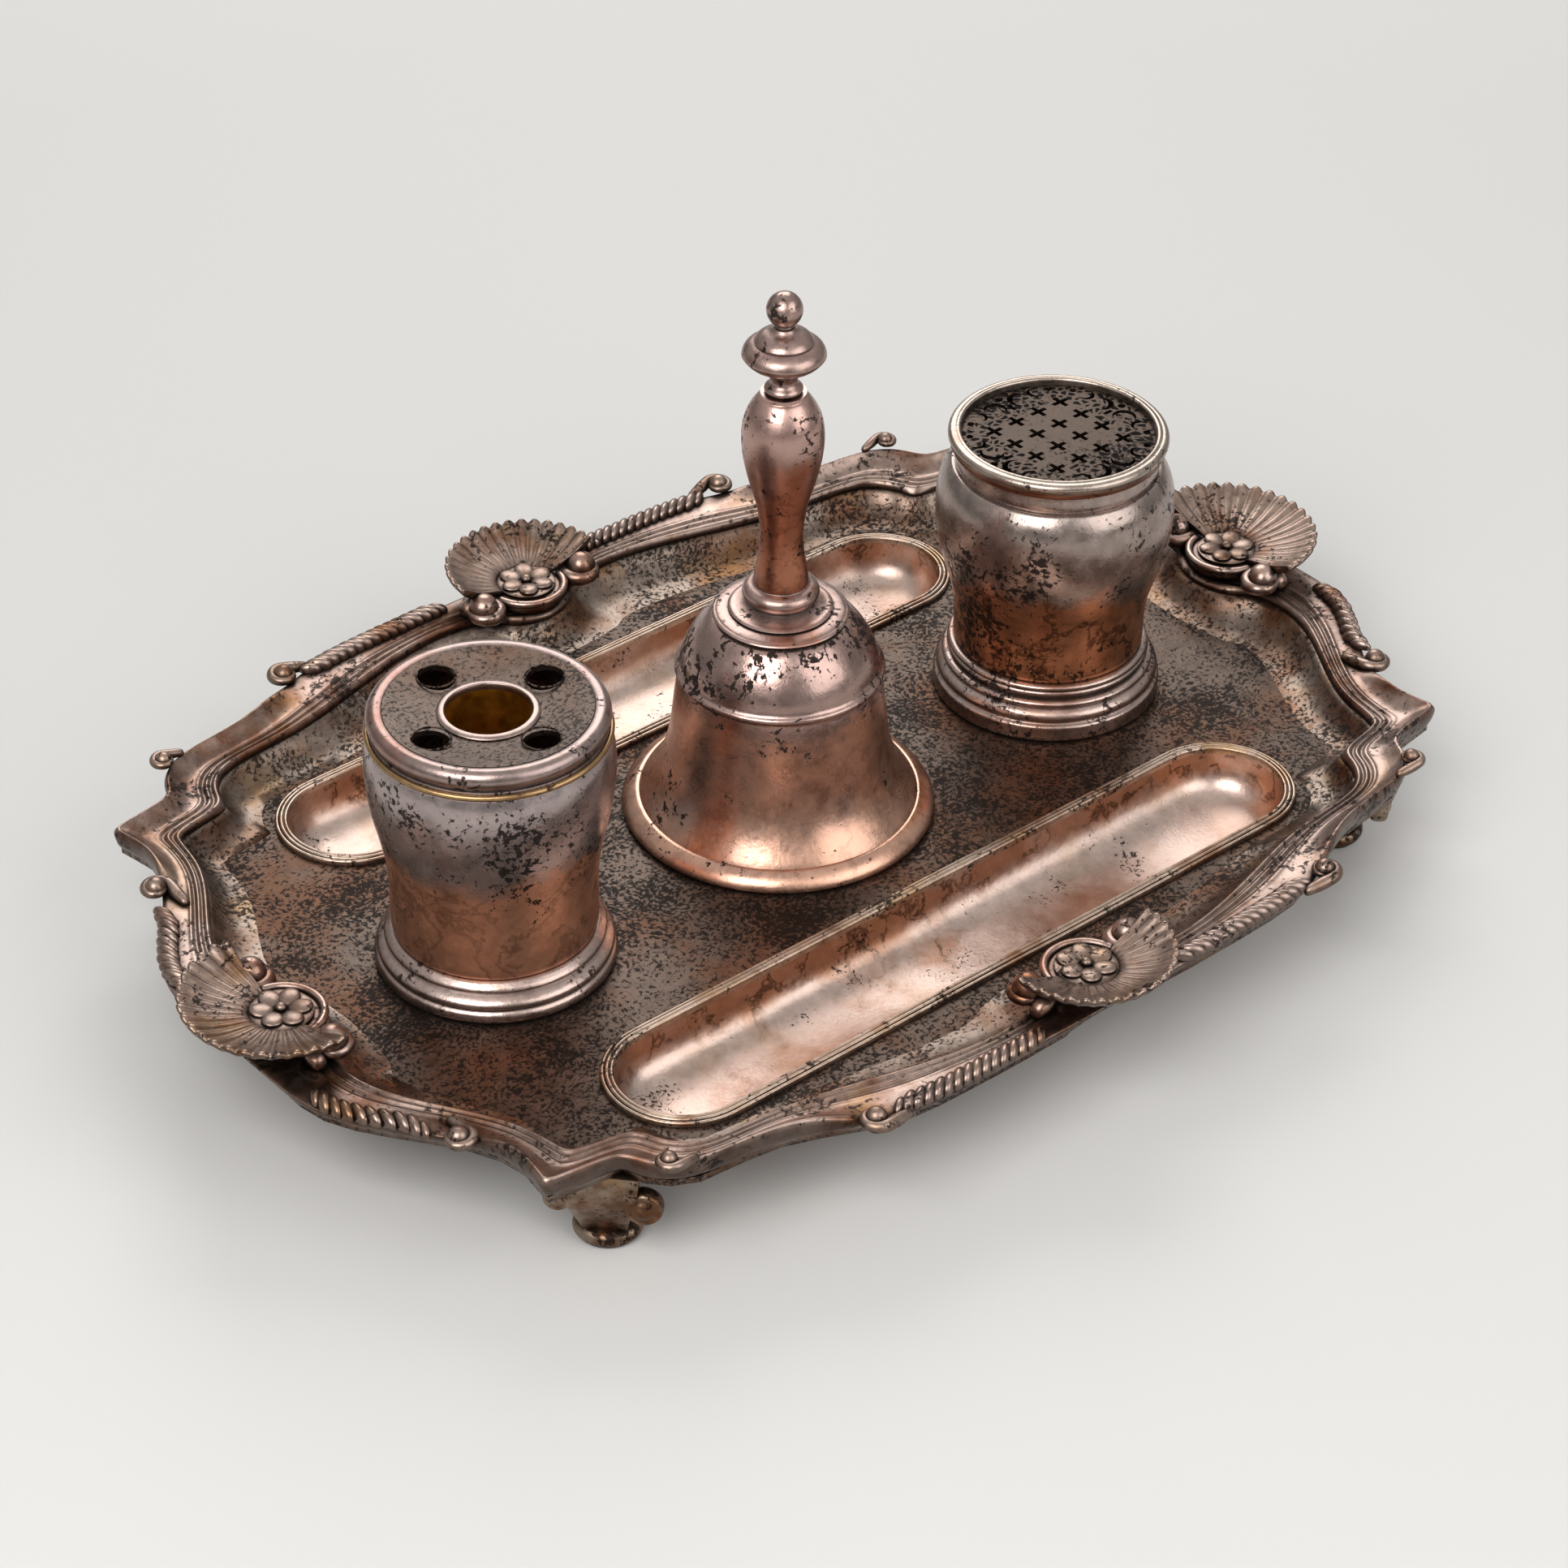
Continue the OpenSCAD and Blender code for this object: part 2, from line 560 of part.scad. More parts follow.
// a cast foot set across the corner: hollow-sided stem, a scroll at either hand, a round toe
module foot() {
  top = flange_z - sheet_t;
  side_r = 9;
  color(silver) union() {
    difference() {
      rotate([90, 0, 0]) translate([0, 0, -stem_w / 2]) linear_extrude(stem_w)
        polygon(concat(
          curve([[2.2, toe_t - 0.8], [4.2, 5], [5.2, 8.5], [6.8, 12.5], [8.6, 16.5], [9.4, top]], 3),
          curve([[11.8, top], [11.6, 17.5], [10.8, 13.6], [8.9, 10.2], [7.4, 7.4], [7.1, 4.8],
            [7.6, toe_t - 0.8]], 3)));
      for (s = [-1, 1]) translate([0, s * (stem_w / 2 + side_r - stem_hollow), foot_scroll_z - 7])
        rotate([0, 90, 0]) cylinder(r = side_r, h = 20);
    }
    for (s = [-1, 1]) translate([6.9, s * (stem_w / 2 + 1.4), foot_scroll_z]) rotate([0, 90, 0])
      volute(s > 0 ? foot_scroll_r : foot_scroll_r * 0.72, 5);
    rotate_extrude() polygon(concat([[0, 0], [toe_r - 1.4, 0]], arc([toe_r - toe_t / 2, toe_t / 2],
      toe_t / 2, -70, 90, 6), [[0, toe_t]]));
  }
}

module foot_back_right() translate([half_l - foot_in_x, half_w - foot_in_y, 0])
  rotate([0, 0, foot_turn]) foot();
module foot_back_left() mirror([1, 0, 0]) foot_back_right();
module foot_front_right() mirror([0, 1, 0]) foot_back_right();
module foot_front_left() rotate([0, 0, 180]) foot_back_right();

// ---------------------------------------------------------------- ink pot

module at_ink() translate([-ink_x, 0, floor_z]) children();

module ink_base() at_ink() color(silver) {
  b = ink_base_h;
  r = ink_base_r;
  rotate_extrude() polygon(concat([[r - 6, 0]],
    curve([[r - 0.8, 0], [r - 0.15, b * 0.06], [r, b * 0.17], [r - 0.2, b * 0.28], [r - 0.8, b * 0.35]], 3),
    curve([[r - 0.75, b * 0.37], [r - 0.6, b * 0.43], [r - 0.8, b * 0.53], [r - 1.5, b * 0.63],
      [r - 2.5, b * 0.69]], 3),
    curve([[r - 2.4, b * 0.71], [r - 2.2, b * 0.77], [r - 2.6, b * 0.87], [r - 3.3, b * 0.94],
      [r - 3.8, b]], 3),
    [[r - 6, b]]));
}

// radius of the lip, where the top sits
ink_lip_r = ink_rim_r - 0.5;
ink_in = ink_lip_r - pot_t;

module ink_body() at_ink() color(worn) {
  b = ink_base_h;
  h = ink_h - b;
  w = ink_waist_r;
  r = ink_r;
  wall = [[w, b + h * 0.1], [w, b + h * 0.22], [w + 0.3, b + h * 0.34], [mix(w, r, 0.45), b + h * 0.49],
    [mix(w, r, 0.86), b + h * 0.64], [r, b + h * 0.79], [r - 0.15, b + h * 0.87]];
  rotate_extrude() polygon(concat([[w, b]], curve(wall), curve([[r - 0.6, b + h * 0.92],
      [ink_lip_r + 0.15, b + h * 0.95], [ink_lip_r, b + h * 0.96]], 2), [[ink_lip_r, ink_h]],
    [[ink_in, ink_h], [ink_in, b + h * 0.92]], turned(curve(inside(wall, pot_t))),
    [[w - pot_t, b + pot_t], [0, b + pot_t], [0, b]]));
}

// the gilt wire round the shoulder
module ink_wire() at_ink() color(gilt) {
  z = mix(ink_base_h, ink_h, 0.96);
  translate([0, 0, z]) rotate_extrude() polygon(concat([[ink_lip_r + 0.02, 0.1]],
    arc([ink_lip_r + 0.3, 0.8], 0.7, -70, 70, 6), [[ink_lip_r + 0.02, 1.5]]));
}

top_z = ink_h;
// inner edge of the rim bead, and the lip round the opening for the cup
plate_r = ink_rim_r - 1.6 * ink_bead;
plate_z = top_z + 2 * ink_bead - 0.2;
plate_t = 1.2;
hole_r = cup_d / 2 + cup_t + fit_gap;
lip_z = plate_z - top_dip;

// the top: a dished plate with four quill holes and an opening for the cup
module ink_top_plate() at_ink() color(silver) difference() {
  rotate_extrude() polygon([[hole_r, lip_z - plate_t], [hole_r + 1.6, lip_z - plate_t],
    [plate_r - 0.02, plate_z - plate_t], [plate_r - 0.02, plate_z], [hole_r + 1.6, lip_z],
    [hole_r, lip_z]]);
  for (a = [0:90:270]) rotate([0, 0, a + quill_turn]) translate([quill_gap, 0, top_z - 4])
    cylinder(d = quill_d, h = 12);
}

// the rim bead, with the skirt that locates the top in the lip of the pot
module ink_top_rim() at_ink() color(silver) {
  b = ink_bead;
  r = ink_rim_r - b;
  s = ink_in - fit_gap;
  rotate_extrude() polygon(concat([[s - 1, top_z - skirt_h], [s, top_z - skirt_h], [s, top_z],
    [r + b * 0.55, top_z]], arc([r, top_z + b], b, -45, 115, 12),
    [[plate_r, plate_z], [plate_r, plate_z - plate_t], [s - 1, plate_z - plate_t]]));
}

// the gilt cup, hung by its flange in the opening
module ink_cup() at_ink() color(gilt) {
  i = cup_d / 2;
  o = i + cup_t;
  d = lip_z - cup_depth;
  rotate_extrude() polygon(concat([[0, d]],
    curve([[o * 0.72, d], [o * 0.94, d + o * 0.08], [o, d + o * 0.3]], 3), [[o, lip_z]],
    curve([[o + 1.2, lip_z], [o + 1.3, lip_z + 0.3], [o + 0.9, lip_z + 0.65],
      [i + 0.35, lip_z + 0.75], [i, lip_z + 0.4]], 2),
    curve([[i, d + o * 0.34], [i * 0.92, d + o * 0.13], [o * 0.7, d + cup_t]], 3), [[0, d + cup_t]]));
}

// ---------------------------------------------------------------- pounce pot

module at_pounce() translate([pounce_x, 0, floor_z]) children();

module pounce_base() at_pounce() color(silver) {
  b = pounce_base_h;
  r = pounce_base_r;
  rotate_extrude() polygon(concat([[r - 7, 0], [r - 0.5, 0], [r, b * 0.04]],
    curve([[r, b * 0.27], [r - 0.1, b * 0.3], [r - 0.5, b * 0.325]], 2),
    curve([[r - 1, b * 0.345], [r - 0.65, b * 0.39], [r - 0.55, b * 0.46], [r - 0.85, b * 0.53],
      [r - 1.8, b * 0.585]], 3),
    curve([[r - 2.1, b * 0.6], [r - 1.85, b * 0.64], [r - 2, b * 0.69], [r - 2.6, b * 0.72]], 2),
    [[r - 3.7, b * 0.74], [r - 3.8, b * 0.77]],
    curve([[r - 3.3, b * 0.79], [r - 2.9, b * 0.84], [r - 3.15, b * 0.885]], 2),
    curve([[r - 3.2, b * 0.895], [r - 3.1, b * 0.94], [r - 3.5, b * 0.985], [r - 4.1, b]], 2),
    [[r - 7, b]]));
}

module pounce_body() at_pounce() color(worn) {
  b = pounce_base_h;
  h = pounce_h - b;
  w = pounce_waist_r;
  r = pounce_r;
  wall = [[w, b + h * 0.08], [w + 0.1, b + h * 0.2], [w + 0.9, b + h * 0.32],
    [mix(w, r, 0.52), b + h * 0.43], [mix(w, r, 0.88), b + h * 0.59], [r, b + h * 0.745],
    [r - 0.3, b + h * 0.85]];
  rotate_extrude() polygon(concat([[w, b]], curve(wall),
    curve([[r - 0.9, b + h * 0.91], [r - 1.9, b + h * 0.96], [r - 3.4, pounce_h]], 2),
    [[neck_r - 1.2, pounce_h], [neck_r - 1.2, pounce_h - pot_t], [r - 2.4 - pot_t, b + h * 0.92]],
    turned(curve(inside(wall, pot_t))), [[w - pot_t, b + pot_t], [0, b + pot_t], [0, b]]));
}

module pounce_neck() at_pounce() color(worn) translate([0, 0, pounce_h]) rotate_extrude()
  polygon([[neck_r - 1.2, 0], [neck_r, 0], [neck_r + 0.3, neck_h * 0.3], [neck_r, neck_h * 0.7],
    [neck_r, neck_h], [neck_r - 1.2, neck_h]]);

lid_z = pounce_h + neck_h;
grille_r = lid_rim_r - 1.55 * lid_bead;

// the lid's rim: a plain band, then an outer and an inner bead
module pounce_lid_rim() at_pounce() color(silver) {
  b = lid_bead;
  top = lid_z + 2 * b;
  s = neck_r - 1.2 - fit_gap;
  outer = b * 0.6;
  inner = b * 0.36;
  rotate_extrude() polygon(concat([[s - 1, lid_z - skirt_h], [s, lid_z - skirt_h], [s, lid_z],
    [lid_rim_r - 0.9, lid_z], [lid_rim_r - 0.6, lid_z + 0.4], [lid_rim_r - 0.5, top - 2 * outer]],
    arc([lid_rim_r - outer, top - outer - 0.15], outer, -40, 130, 8),
    arc([grille_r + inner + 0.1, top - inner], inner, 40, 180, 5),
    [[grille_r, top - b * 1.4], [grille_r - 0.9, top - b * 1.4], [grille_r - 0.9, lid_z], [s - 1, lid_z]]));
}

// the pierced plate: a diaper of crosses, with scrolls, leaves and buds in the four segments
module pounce_grille() at_pounce() color(silver) {
  cut = grille_t + 2;
  translate([0, 0, lid_z + lid_bead * 0.6]) difference() {
    cylinder(r = grille_r - 0.02, h = grille_t);
    for (i = [-1.5:1:1.5], j = [-1.5:1:1.5]) translate([i * diaper_pitch, j * diaper_pitch, -1]) {
      translate([-pierce_arm, -pierce_w / 2, 0]) cube([2 * pierce_arm, pierce_w, cut]);
      translate([-pierce_w / 2, -pierce_arm, 0]) cube([pierce_w, 2 * pierce_arm, cut]);
    }
    for (a = [0:90:270]) rotate([0, 0, a]) {
      translate([grille_r - 2.1, 0, -1]) cylinder(r = 0.9, h = cut);
      translate([grille_r - 7.6, -0.5, -1]) cube([2.4, 1, cut]);
      for (s = [-1, 1]) {
        rotate([0, 0, s * 12]) translate([grille_r - 4.4, 0, -1]) crescent(2.7, s * 130);
        rotate([0, 0, s * 27]) translate([grille_r - 2.9, 0, -1]) crescent(1.9, s * 60);
        rotate([0, 0, s * 37]) translate([grille_r - 1.8, 0, -1]) cylinder(r = 0.8, h = cut);
      }
    }
  }
}

// the cut of one scroll: the part of a disc that an offset disc leaves
module crescent(r, turn) rotate([0, 0, turn]) difference() {
  cylinder(r = r, h = grille_t + 2, $fn = 32);
  translate([r * 0.38, 0, -1]) cylinder(r = r * 0.9, h = grille_t + 4, $fn = 32);
}

// ---------------------------------------------------------------- bell

module at_bell() translate([bell_x, bell_y, floor_z]) children();

module bell_shell() at_bell() color(worn) {
  h = bell_h;
  w = bell_waist_r;
  l = lip_r;
  t = bell_t;
  stud = stud_r + 0.05;
  bead_r = 0.75;
  flare = [[mix(w, l, 0.66), 4.7], [mix(w, l, 0.44), h * 0.16], [mix(w, l, 0.24), h * 0.24],
    [mix(w, l, 0.1), h * 0.36], [mix(w, l, 0.02), h * 0.54], [w - 0.6, h * 0.68], [w - 0.9, h * 0.71]];
  dome = [[w - 1.1, h * 0.75], [w - 1.5, h * 0.79], [w - 2.4, h * 0.84], [w - 4.4, h * 0.91],
    [w - 7, h * 0.97], [crown_r, h]];
  lining = [for (q = dome) if (q[0] > crown_r + 1) [q[0], q[1] - t * 0.6]];
  rotate_extrude() polygon(concat(
    curve([[l - 1, 0], [l - 0.15, 0.5], [l, 1.3], [l - 0.7, 2.6], [l - 2.1, 3.8], [l - 3.3, 4.3]], 3),
    [[mix(w, l, 0.69), 4.3]], curve(flare), arc([w - 0.9, h * 0.73], bead_r, -70, 70, 6),
    curve(dome, 3), [[stud, h], [stud, h - t], [crown_r - 1.2, h - t]],
    turned(curve(inside(lining, t), 3)), turned(curve(inside(flare, t), 3)),
    [[l - 3.2, 2.2], [l - 2.2, 0]]));
}

// stepped rings round the crown, and the boss that carries the handle
module bell_crown() at_bell() color(silver) translate([0, 0, bell_h]) {
  r = crown_r;
  c = crown_h;
  rotate_extrude() polygon(concat([[stud_r + 0.05, 0]],
    curve([[r + 0.3, 0], [r + 0.45, c * 0.04], [r + 0.2, c * 0.08], [r - 0.4, c * 0.095]], 2),
    curve([[r - 0.5, c * 0.105], [r - 1.6, c * 0.15], [r - 2.7, c * 0.17]], 2),
    curve([[r - 3.1, c * 0.18], [r - 3, c * 0.23], [r - 3.6, c * 0.27], [r - 4.2, c * 0.28]], 2),
    curve([[r - 4.4, c * 0.29], [r - 6, c * 0.34], [r - 7, c * 0.4], [r - 7.4, c * 0.47]], 2),
    arc([r - 7.9, c * 0.7], 1.9, -65, 75, 8),
    [[r - 8, c * 0.945], [r - 8.4, c * 0.97], [r - 8.4, c], [stud_r + 0.05, c]]));
}

handle_z = bell_h + crown_h;
module bell_handle() at_bell() color(worn) translate([0, 0, handle_z]) {
  h = handle_h;
  w = handle_waist_r;
  r = handle_r;
  rotate_extrude() polygon(concat([[stud_r + 0.05, 0]],
    curve([[w + 1.4, 0], [w + 1.3, h * 0.04], [w + 0.9, h * 0.09], [w + 0.3, h * 0.16], [w, h * 0.25],
      [w + 0.45, h * 0.36], [mix(w, r, 0.3), h * 0.45], [mix(w, r, 0.62), h * 0.545],
      [mix(w, r, 0.9), h * 0.66], [r, h * 0.77], [r - 0.4, h * 0.855], [r - 1.7, h * 0.925],
      [r - 3.4, h * 0.975]], 3),
    [[r - 4, h * 0.98], [r - 4, h], [stud_r + 0.05, h]]));
}

knop_z = handle_z + handle_h;
// the collar under the knop, the knop and its domed cap
module bell_knop() at_bell() color(silver) translate([0, 0, knop_z]) {
  h = knop_h;
  r = knop_r;
  rotate_extrude() polygon(concat([[0, 0]],
    curve([[3.8, 0], [4.2, h * 0.04], [4.1, h * 0.08], [3.4, h * 0.12], [2.9, h * 0.16],
      [2.9, h * 0.22], [3.6, h * 0.3], [r * 0.6, h * 0.385], [r * 0.87, h * 0.47], [r, h * 0.58],
      [r * 0.96, h * 0.68], [r * 0.82, h * 0.75],
      [r * 0.7, h * 0.775]], 3),
    curve([[r * 0.69, h * 0.79], [r * 0.64, h * 0.85], [r * 0.5, h * 0.905], [r * 0.33, h * 0.94],
      [2.2, h]], 3), [[0, h]]));
}

finial_z = knop_z + knop_h;
module bell_finial() at_bell() color(silver) translate([0, 0, finial_z]) union() {
  cylinder(r = 1.9, h = finial_r * 0.5);
  translate([0, 0, finial_r * 1.02]) sphere(finial_r);
}

// the stud that ties the handle to the bell and carries the clapper's eye
pivot_z = bell_h - bell_t - pivot_drop;
eye_r = pin_r + fit_gap + 1.4;
eye_w = 2.2;
rod_r = 1.1;
module bell_stud() at_bell() color(silver) difference() {
  under = bell_h - bell_t;
  nut_h = 3;
  union() {
    translate([0, 0, under - nut_h + 0.4])
      cylinder(r = stud_r, h = nut_h - 0.4 + bell_t + crown_h + handle_h);
    translate([0, 0, under - nut_h]) cylinder(r = stud_r + 2.4, h = nut_h - 0.02);
    translate([0, 0, pivot_z]) rotate([90, 0, 0]) translate([0, 0, -eye_w / 2])
      cylinder(r = eye_r, h = eye_w);
    translate([-1.8, -eye_w / 2, pivot_z + 0.5]) cube([3.6, eye_w, pivot_drop - nut_h]);
  }
  translate([0, 0, pivot_z]) rotate([90, 0, 0]) translate([0, 0, -10])
    cylinder(r = pin_r + 0.05, h = 20);
}

// a fork with its pin, and the rod down to the ball
module clapper_fork() at_bell() color(silver) translate([0, 0, pivot_z]) {
  g = eye_w / 2 + fit_gap;
  union() {
    for (s = [-1, 1]) {
      translate([0, s * (g + 0.7), 0]) rotate([90, 0, 0]) translate([0, 0, -0.7])
        cylinder(r = eye_r - 0.5, h = 1.4);
      translate([-1.5, s * (g + 0.7) - 0.7, -eye_r - 2.4]) cube([3, 1.4, eye_r + 2.4]);
    }
    rotate([90, 0, 0]) translate([0, 0, -g - 1]) cylinder(r = pin_r, h = 2 * g + 2);
    translate([-1.5, -g - 1.4, -eye_r - 3.6]) cube([3, 2 * g + 2.8, 2]);
    translate([0, 0, -clapper_l + clapper_r - 0.6])
      cylinder(r = rod_r, h = clapper_l - clapper_r - eye_r - 1.2);
  }
}

module clapper_ball() at_bell() color(worn) translate([0, 0, pivot_z - clapper_l]) difference() {
  sphere(clapper_r);
  translate([0, 0, clapper_r - 0.6]) cylinder(r = rod_r, h = 2);
}

tray_floor();
tray_wall();
border_moulding();
pen_trough_front();
pen_trough_back();
shell_front();
shell_back();
shell_left();
shell_right();
seat_front();
seat_back();
seat_left();
seat_right();
rosette_front();
rosette_back();
rosette_left();
rosette_right();
gadroons_front_left();
gadroons_front_right();
gadroons_back_left();
gadroons_back_right();
gadroons_left_front();
gadroons_left_back();
gadroons_right_front();
gadroons_right_back();
scroll_front_left();
scroll_front_right();
scroll_back_left();
scroll_back_right();
scroll_left_front();
scroll_left_back();
scroll_right_front();
scroll_right_back();
curl_front_left();
curl_front_right();
curl_back_left();
curl_back_right();
foot_front_left();
foot_front_right();
foot_back_left();
foot_back_right();
ink_base();
ink_body();
ink_wire();
ink_top_plate();
ink_top_rim();
ink_cup();
pounce_base();
pounce_body();
pounce_neck();
pounce_lid_rim();
pounce_grille();
bell_shell();
bell_crown();
bell_handle();
bell_knop();
bell_finial();
bell_stud();
clapper_fork();
clapper_ball();
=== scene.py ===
import math
from functools import partial

import bpy
from mathutils import Matrix, Vector


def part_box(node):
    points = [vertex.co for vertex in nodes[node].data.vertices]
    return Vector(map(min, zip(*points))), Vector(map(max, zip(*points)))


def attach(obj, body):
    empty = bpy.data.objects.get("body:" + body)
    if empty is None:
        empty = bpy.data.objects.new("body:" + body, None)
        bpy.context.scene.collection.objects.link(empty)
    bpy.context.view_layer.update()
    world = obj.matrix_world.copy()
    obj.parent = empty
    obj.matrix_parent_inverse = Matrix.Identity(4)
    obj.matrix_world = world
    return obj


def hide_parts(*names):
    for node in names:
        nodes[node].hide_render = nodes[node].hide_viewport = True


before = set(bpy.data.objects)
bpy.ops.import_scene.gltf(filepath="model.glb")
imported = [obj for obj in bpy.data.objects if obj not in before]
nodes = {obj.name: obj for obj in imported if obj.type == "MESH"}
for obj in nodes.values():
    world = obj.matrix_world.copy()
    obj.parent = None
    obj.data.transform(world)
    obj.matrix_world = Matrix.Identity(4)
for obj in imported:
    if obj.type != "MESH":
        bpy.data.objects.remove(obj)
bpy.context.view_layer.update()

# Desk inkstand: a footed tray with two pen troughs, an ink pot, a table bell and a pounce pot.
# Sizes in the dictionaries are millimetres, except in view and studio, which are metres.

mm = 0.001
floorZ = 19.0          # top of the tray's sheet


def hexToLinear(text):
    parts = [int(text[i:i + 2], 16) / 255 for i in (1, 3, 5)]
    return tuple(c / 12.92 if c <= 0.04045 else ((c + 0.055) / 1.055) ** 2.4 for c in parts) + (1.0,)


def perMm(size):       # texture scale for a feature of that many millimetres
    return 1 / (size * mm)


# adds one node, sets or links its inputs, and gives back the output that is wanted
def addNode(tree, kind, inputs=None, out=0, **settings):
    node = tree.nodes.new("ShaderNode" + kind)
    for key, value in settings.items():
        setattr(node, key, value)
    for key, value in (inputs or {}).items():
        if isinstance(value, bpy.types.NodeSocket):
            tree.links.new(value, node.inputs[key])
        else:
            node.inputs[key].default_value = value
    return node.outputs[out]


# camera: a little above the desk, over the near corner

view = {"azimuth": -41.13, "elevation": 35.74, "roll": 0.84, "distance": 0.9587,
        "aim": (0.0, 0.0, 0.019), "right": -0.00113, "up": 0.00459, "lens": 100.03, "sensor": 36, "clip": 0.05}


def makeCamera():
    az, el, roll = (math.radians(view[k]) for k in ("azimuth", "elevation", "roll"))
    back = Vector((math.sin(az) * math.cos(el), -math.cos(az) * math.cos(el), math.sin(el)))
    right = (-back).cross(Vector((0, 0, 1))).normalized()
    up = right.cross(-back).normalized()
    turnedRight = math.cos(roll) * right + math.sin(roll) * up
    turnedUp = -math.sin(roll) * right + math.cos(roll) * up
    data = bpy.data.cameras.new("camera")
    data.lens = view["lens"]
    data.sensor_width = view["sensor"]
    data.clip_start = view["clip"]
    camera = bpy.data.objects.new("camera", data)
    bpy.context.scene.collection.objects.link(camera)
    camera.location = back * view["distance"] + right * view["right"] + up * view["up"] + Vector(view["aim"])
    camera.rotation_euler = Matrix((turnedRight, turnedUp, back)).transposed().to_euler()
    bpy.context.scene.camera = camera


makeCamera()
print("camera ready")


# finishes: all are electroplated silver on copper, thinned by years of polishing, with black sulphide tarnish

plateLook = {                                               # what every plated finish starts from
    # recess is the tone of the painted shade in hollows, on sides and in tracery cells, and of the dark veins
    "silver": "#b79f94", "copper": "#a0694d", "tarnish": "#1d1512", "recess": "#1e1510", "stain": "#957040",
    "seed": 0.0, "warpMm": 14, "warpBy": 0.007,             # slides and bends the patterns
    "patchMm": 34, "copperFrom": 0.50, "copperTo": 0.72,    # patches where the copper shows through
    "zFrom": 0.0, "zTo": 1.0, "low": 0.0, "high": 0.0,      # more or less copper by height, in metres
    "mottle": 0.3, "mottleMm": 4,                           # cloudy light and dark in the plate
    "stainShare": 0.0, "stainMm": 16, "stainFrom": 0.54, "stainTo": 0.68,
    "vein": 0.0, "veinMm": 16, "veinFrom": 0.004, "veinTo": 0.03,
    "sides": 0.0, "sidesFrom": 0.1, "sidesTo": 0.85,        # painted shade: how dark a face gets as it turns from up to sideways
    "traceryMm": 0.0, "cellFrom": 0.12, "cellTo": 0.2, "squareAt": (0, 0, 0), "squareHalf": 0.0,
    # real specks go down to 0.1 mm; they are drawn from about 1 mm up, so that they show
    "spotMm": 1.5, "clusterMm": 26, "cluster": 0.5, "spotEdge": 0.66, "spotSoft": 0.05, "spotDark": 0.92, "spotLean": 0.0,
    # painted shade and tarnish in the hollows, from ambient occlusion
    "recessMm": 0.0, "recessFrom": 0.35, "recessTo": 0.85, "recessDark": 0.95,
    "smooth": 0.2, "clouded": 0.12, "worn": 0.06, "dull": 0.5, "metal": 1.0, "spotMetal": 0.88,
    "wave": 0.00025, "waveMm": 16, "grit": 0.00006}


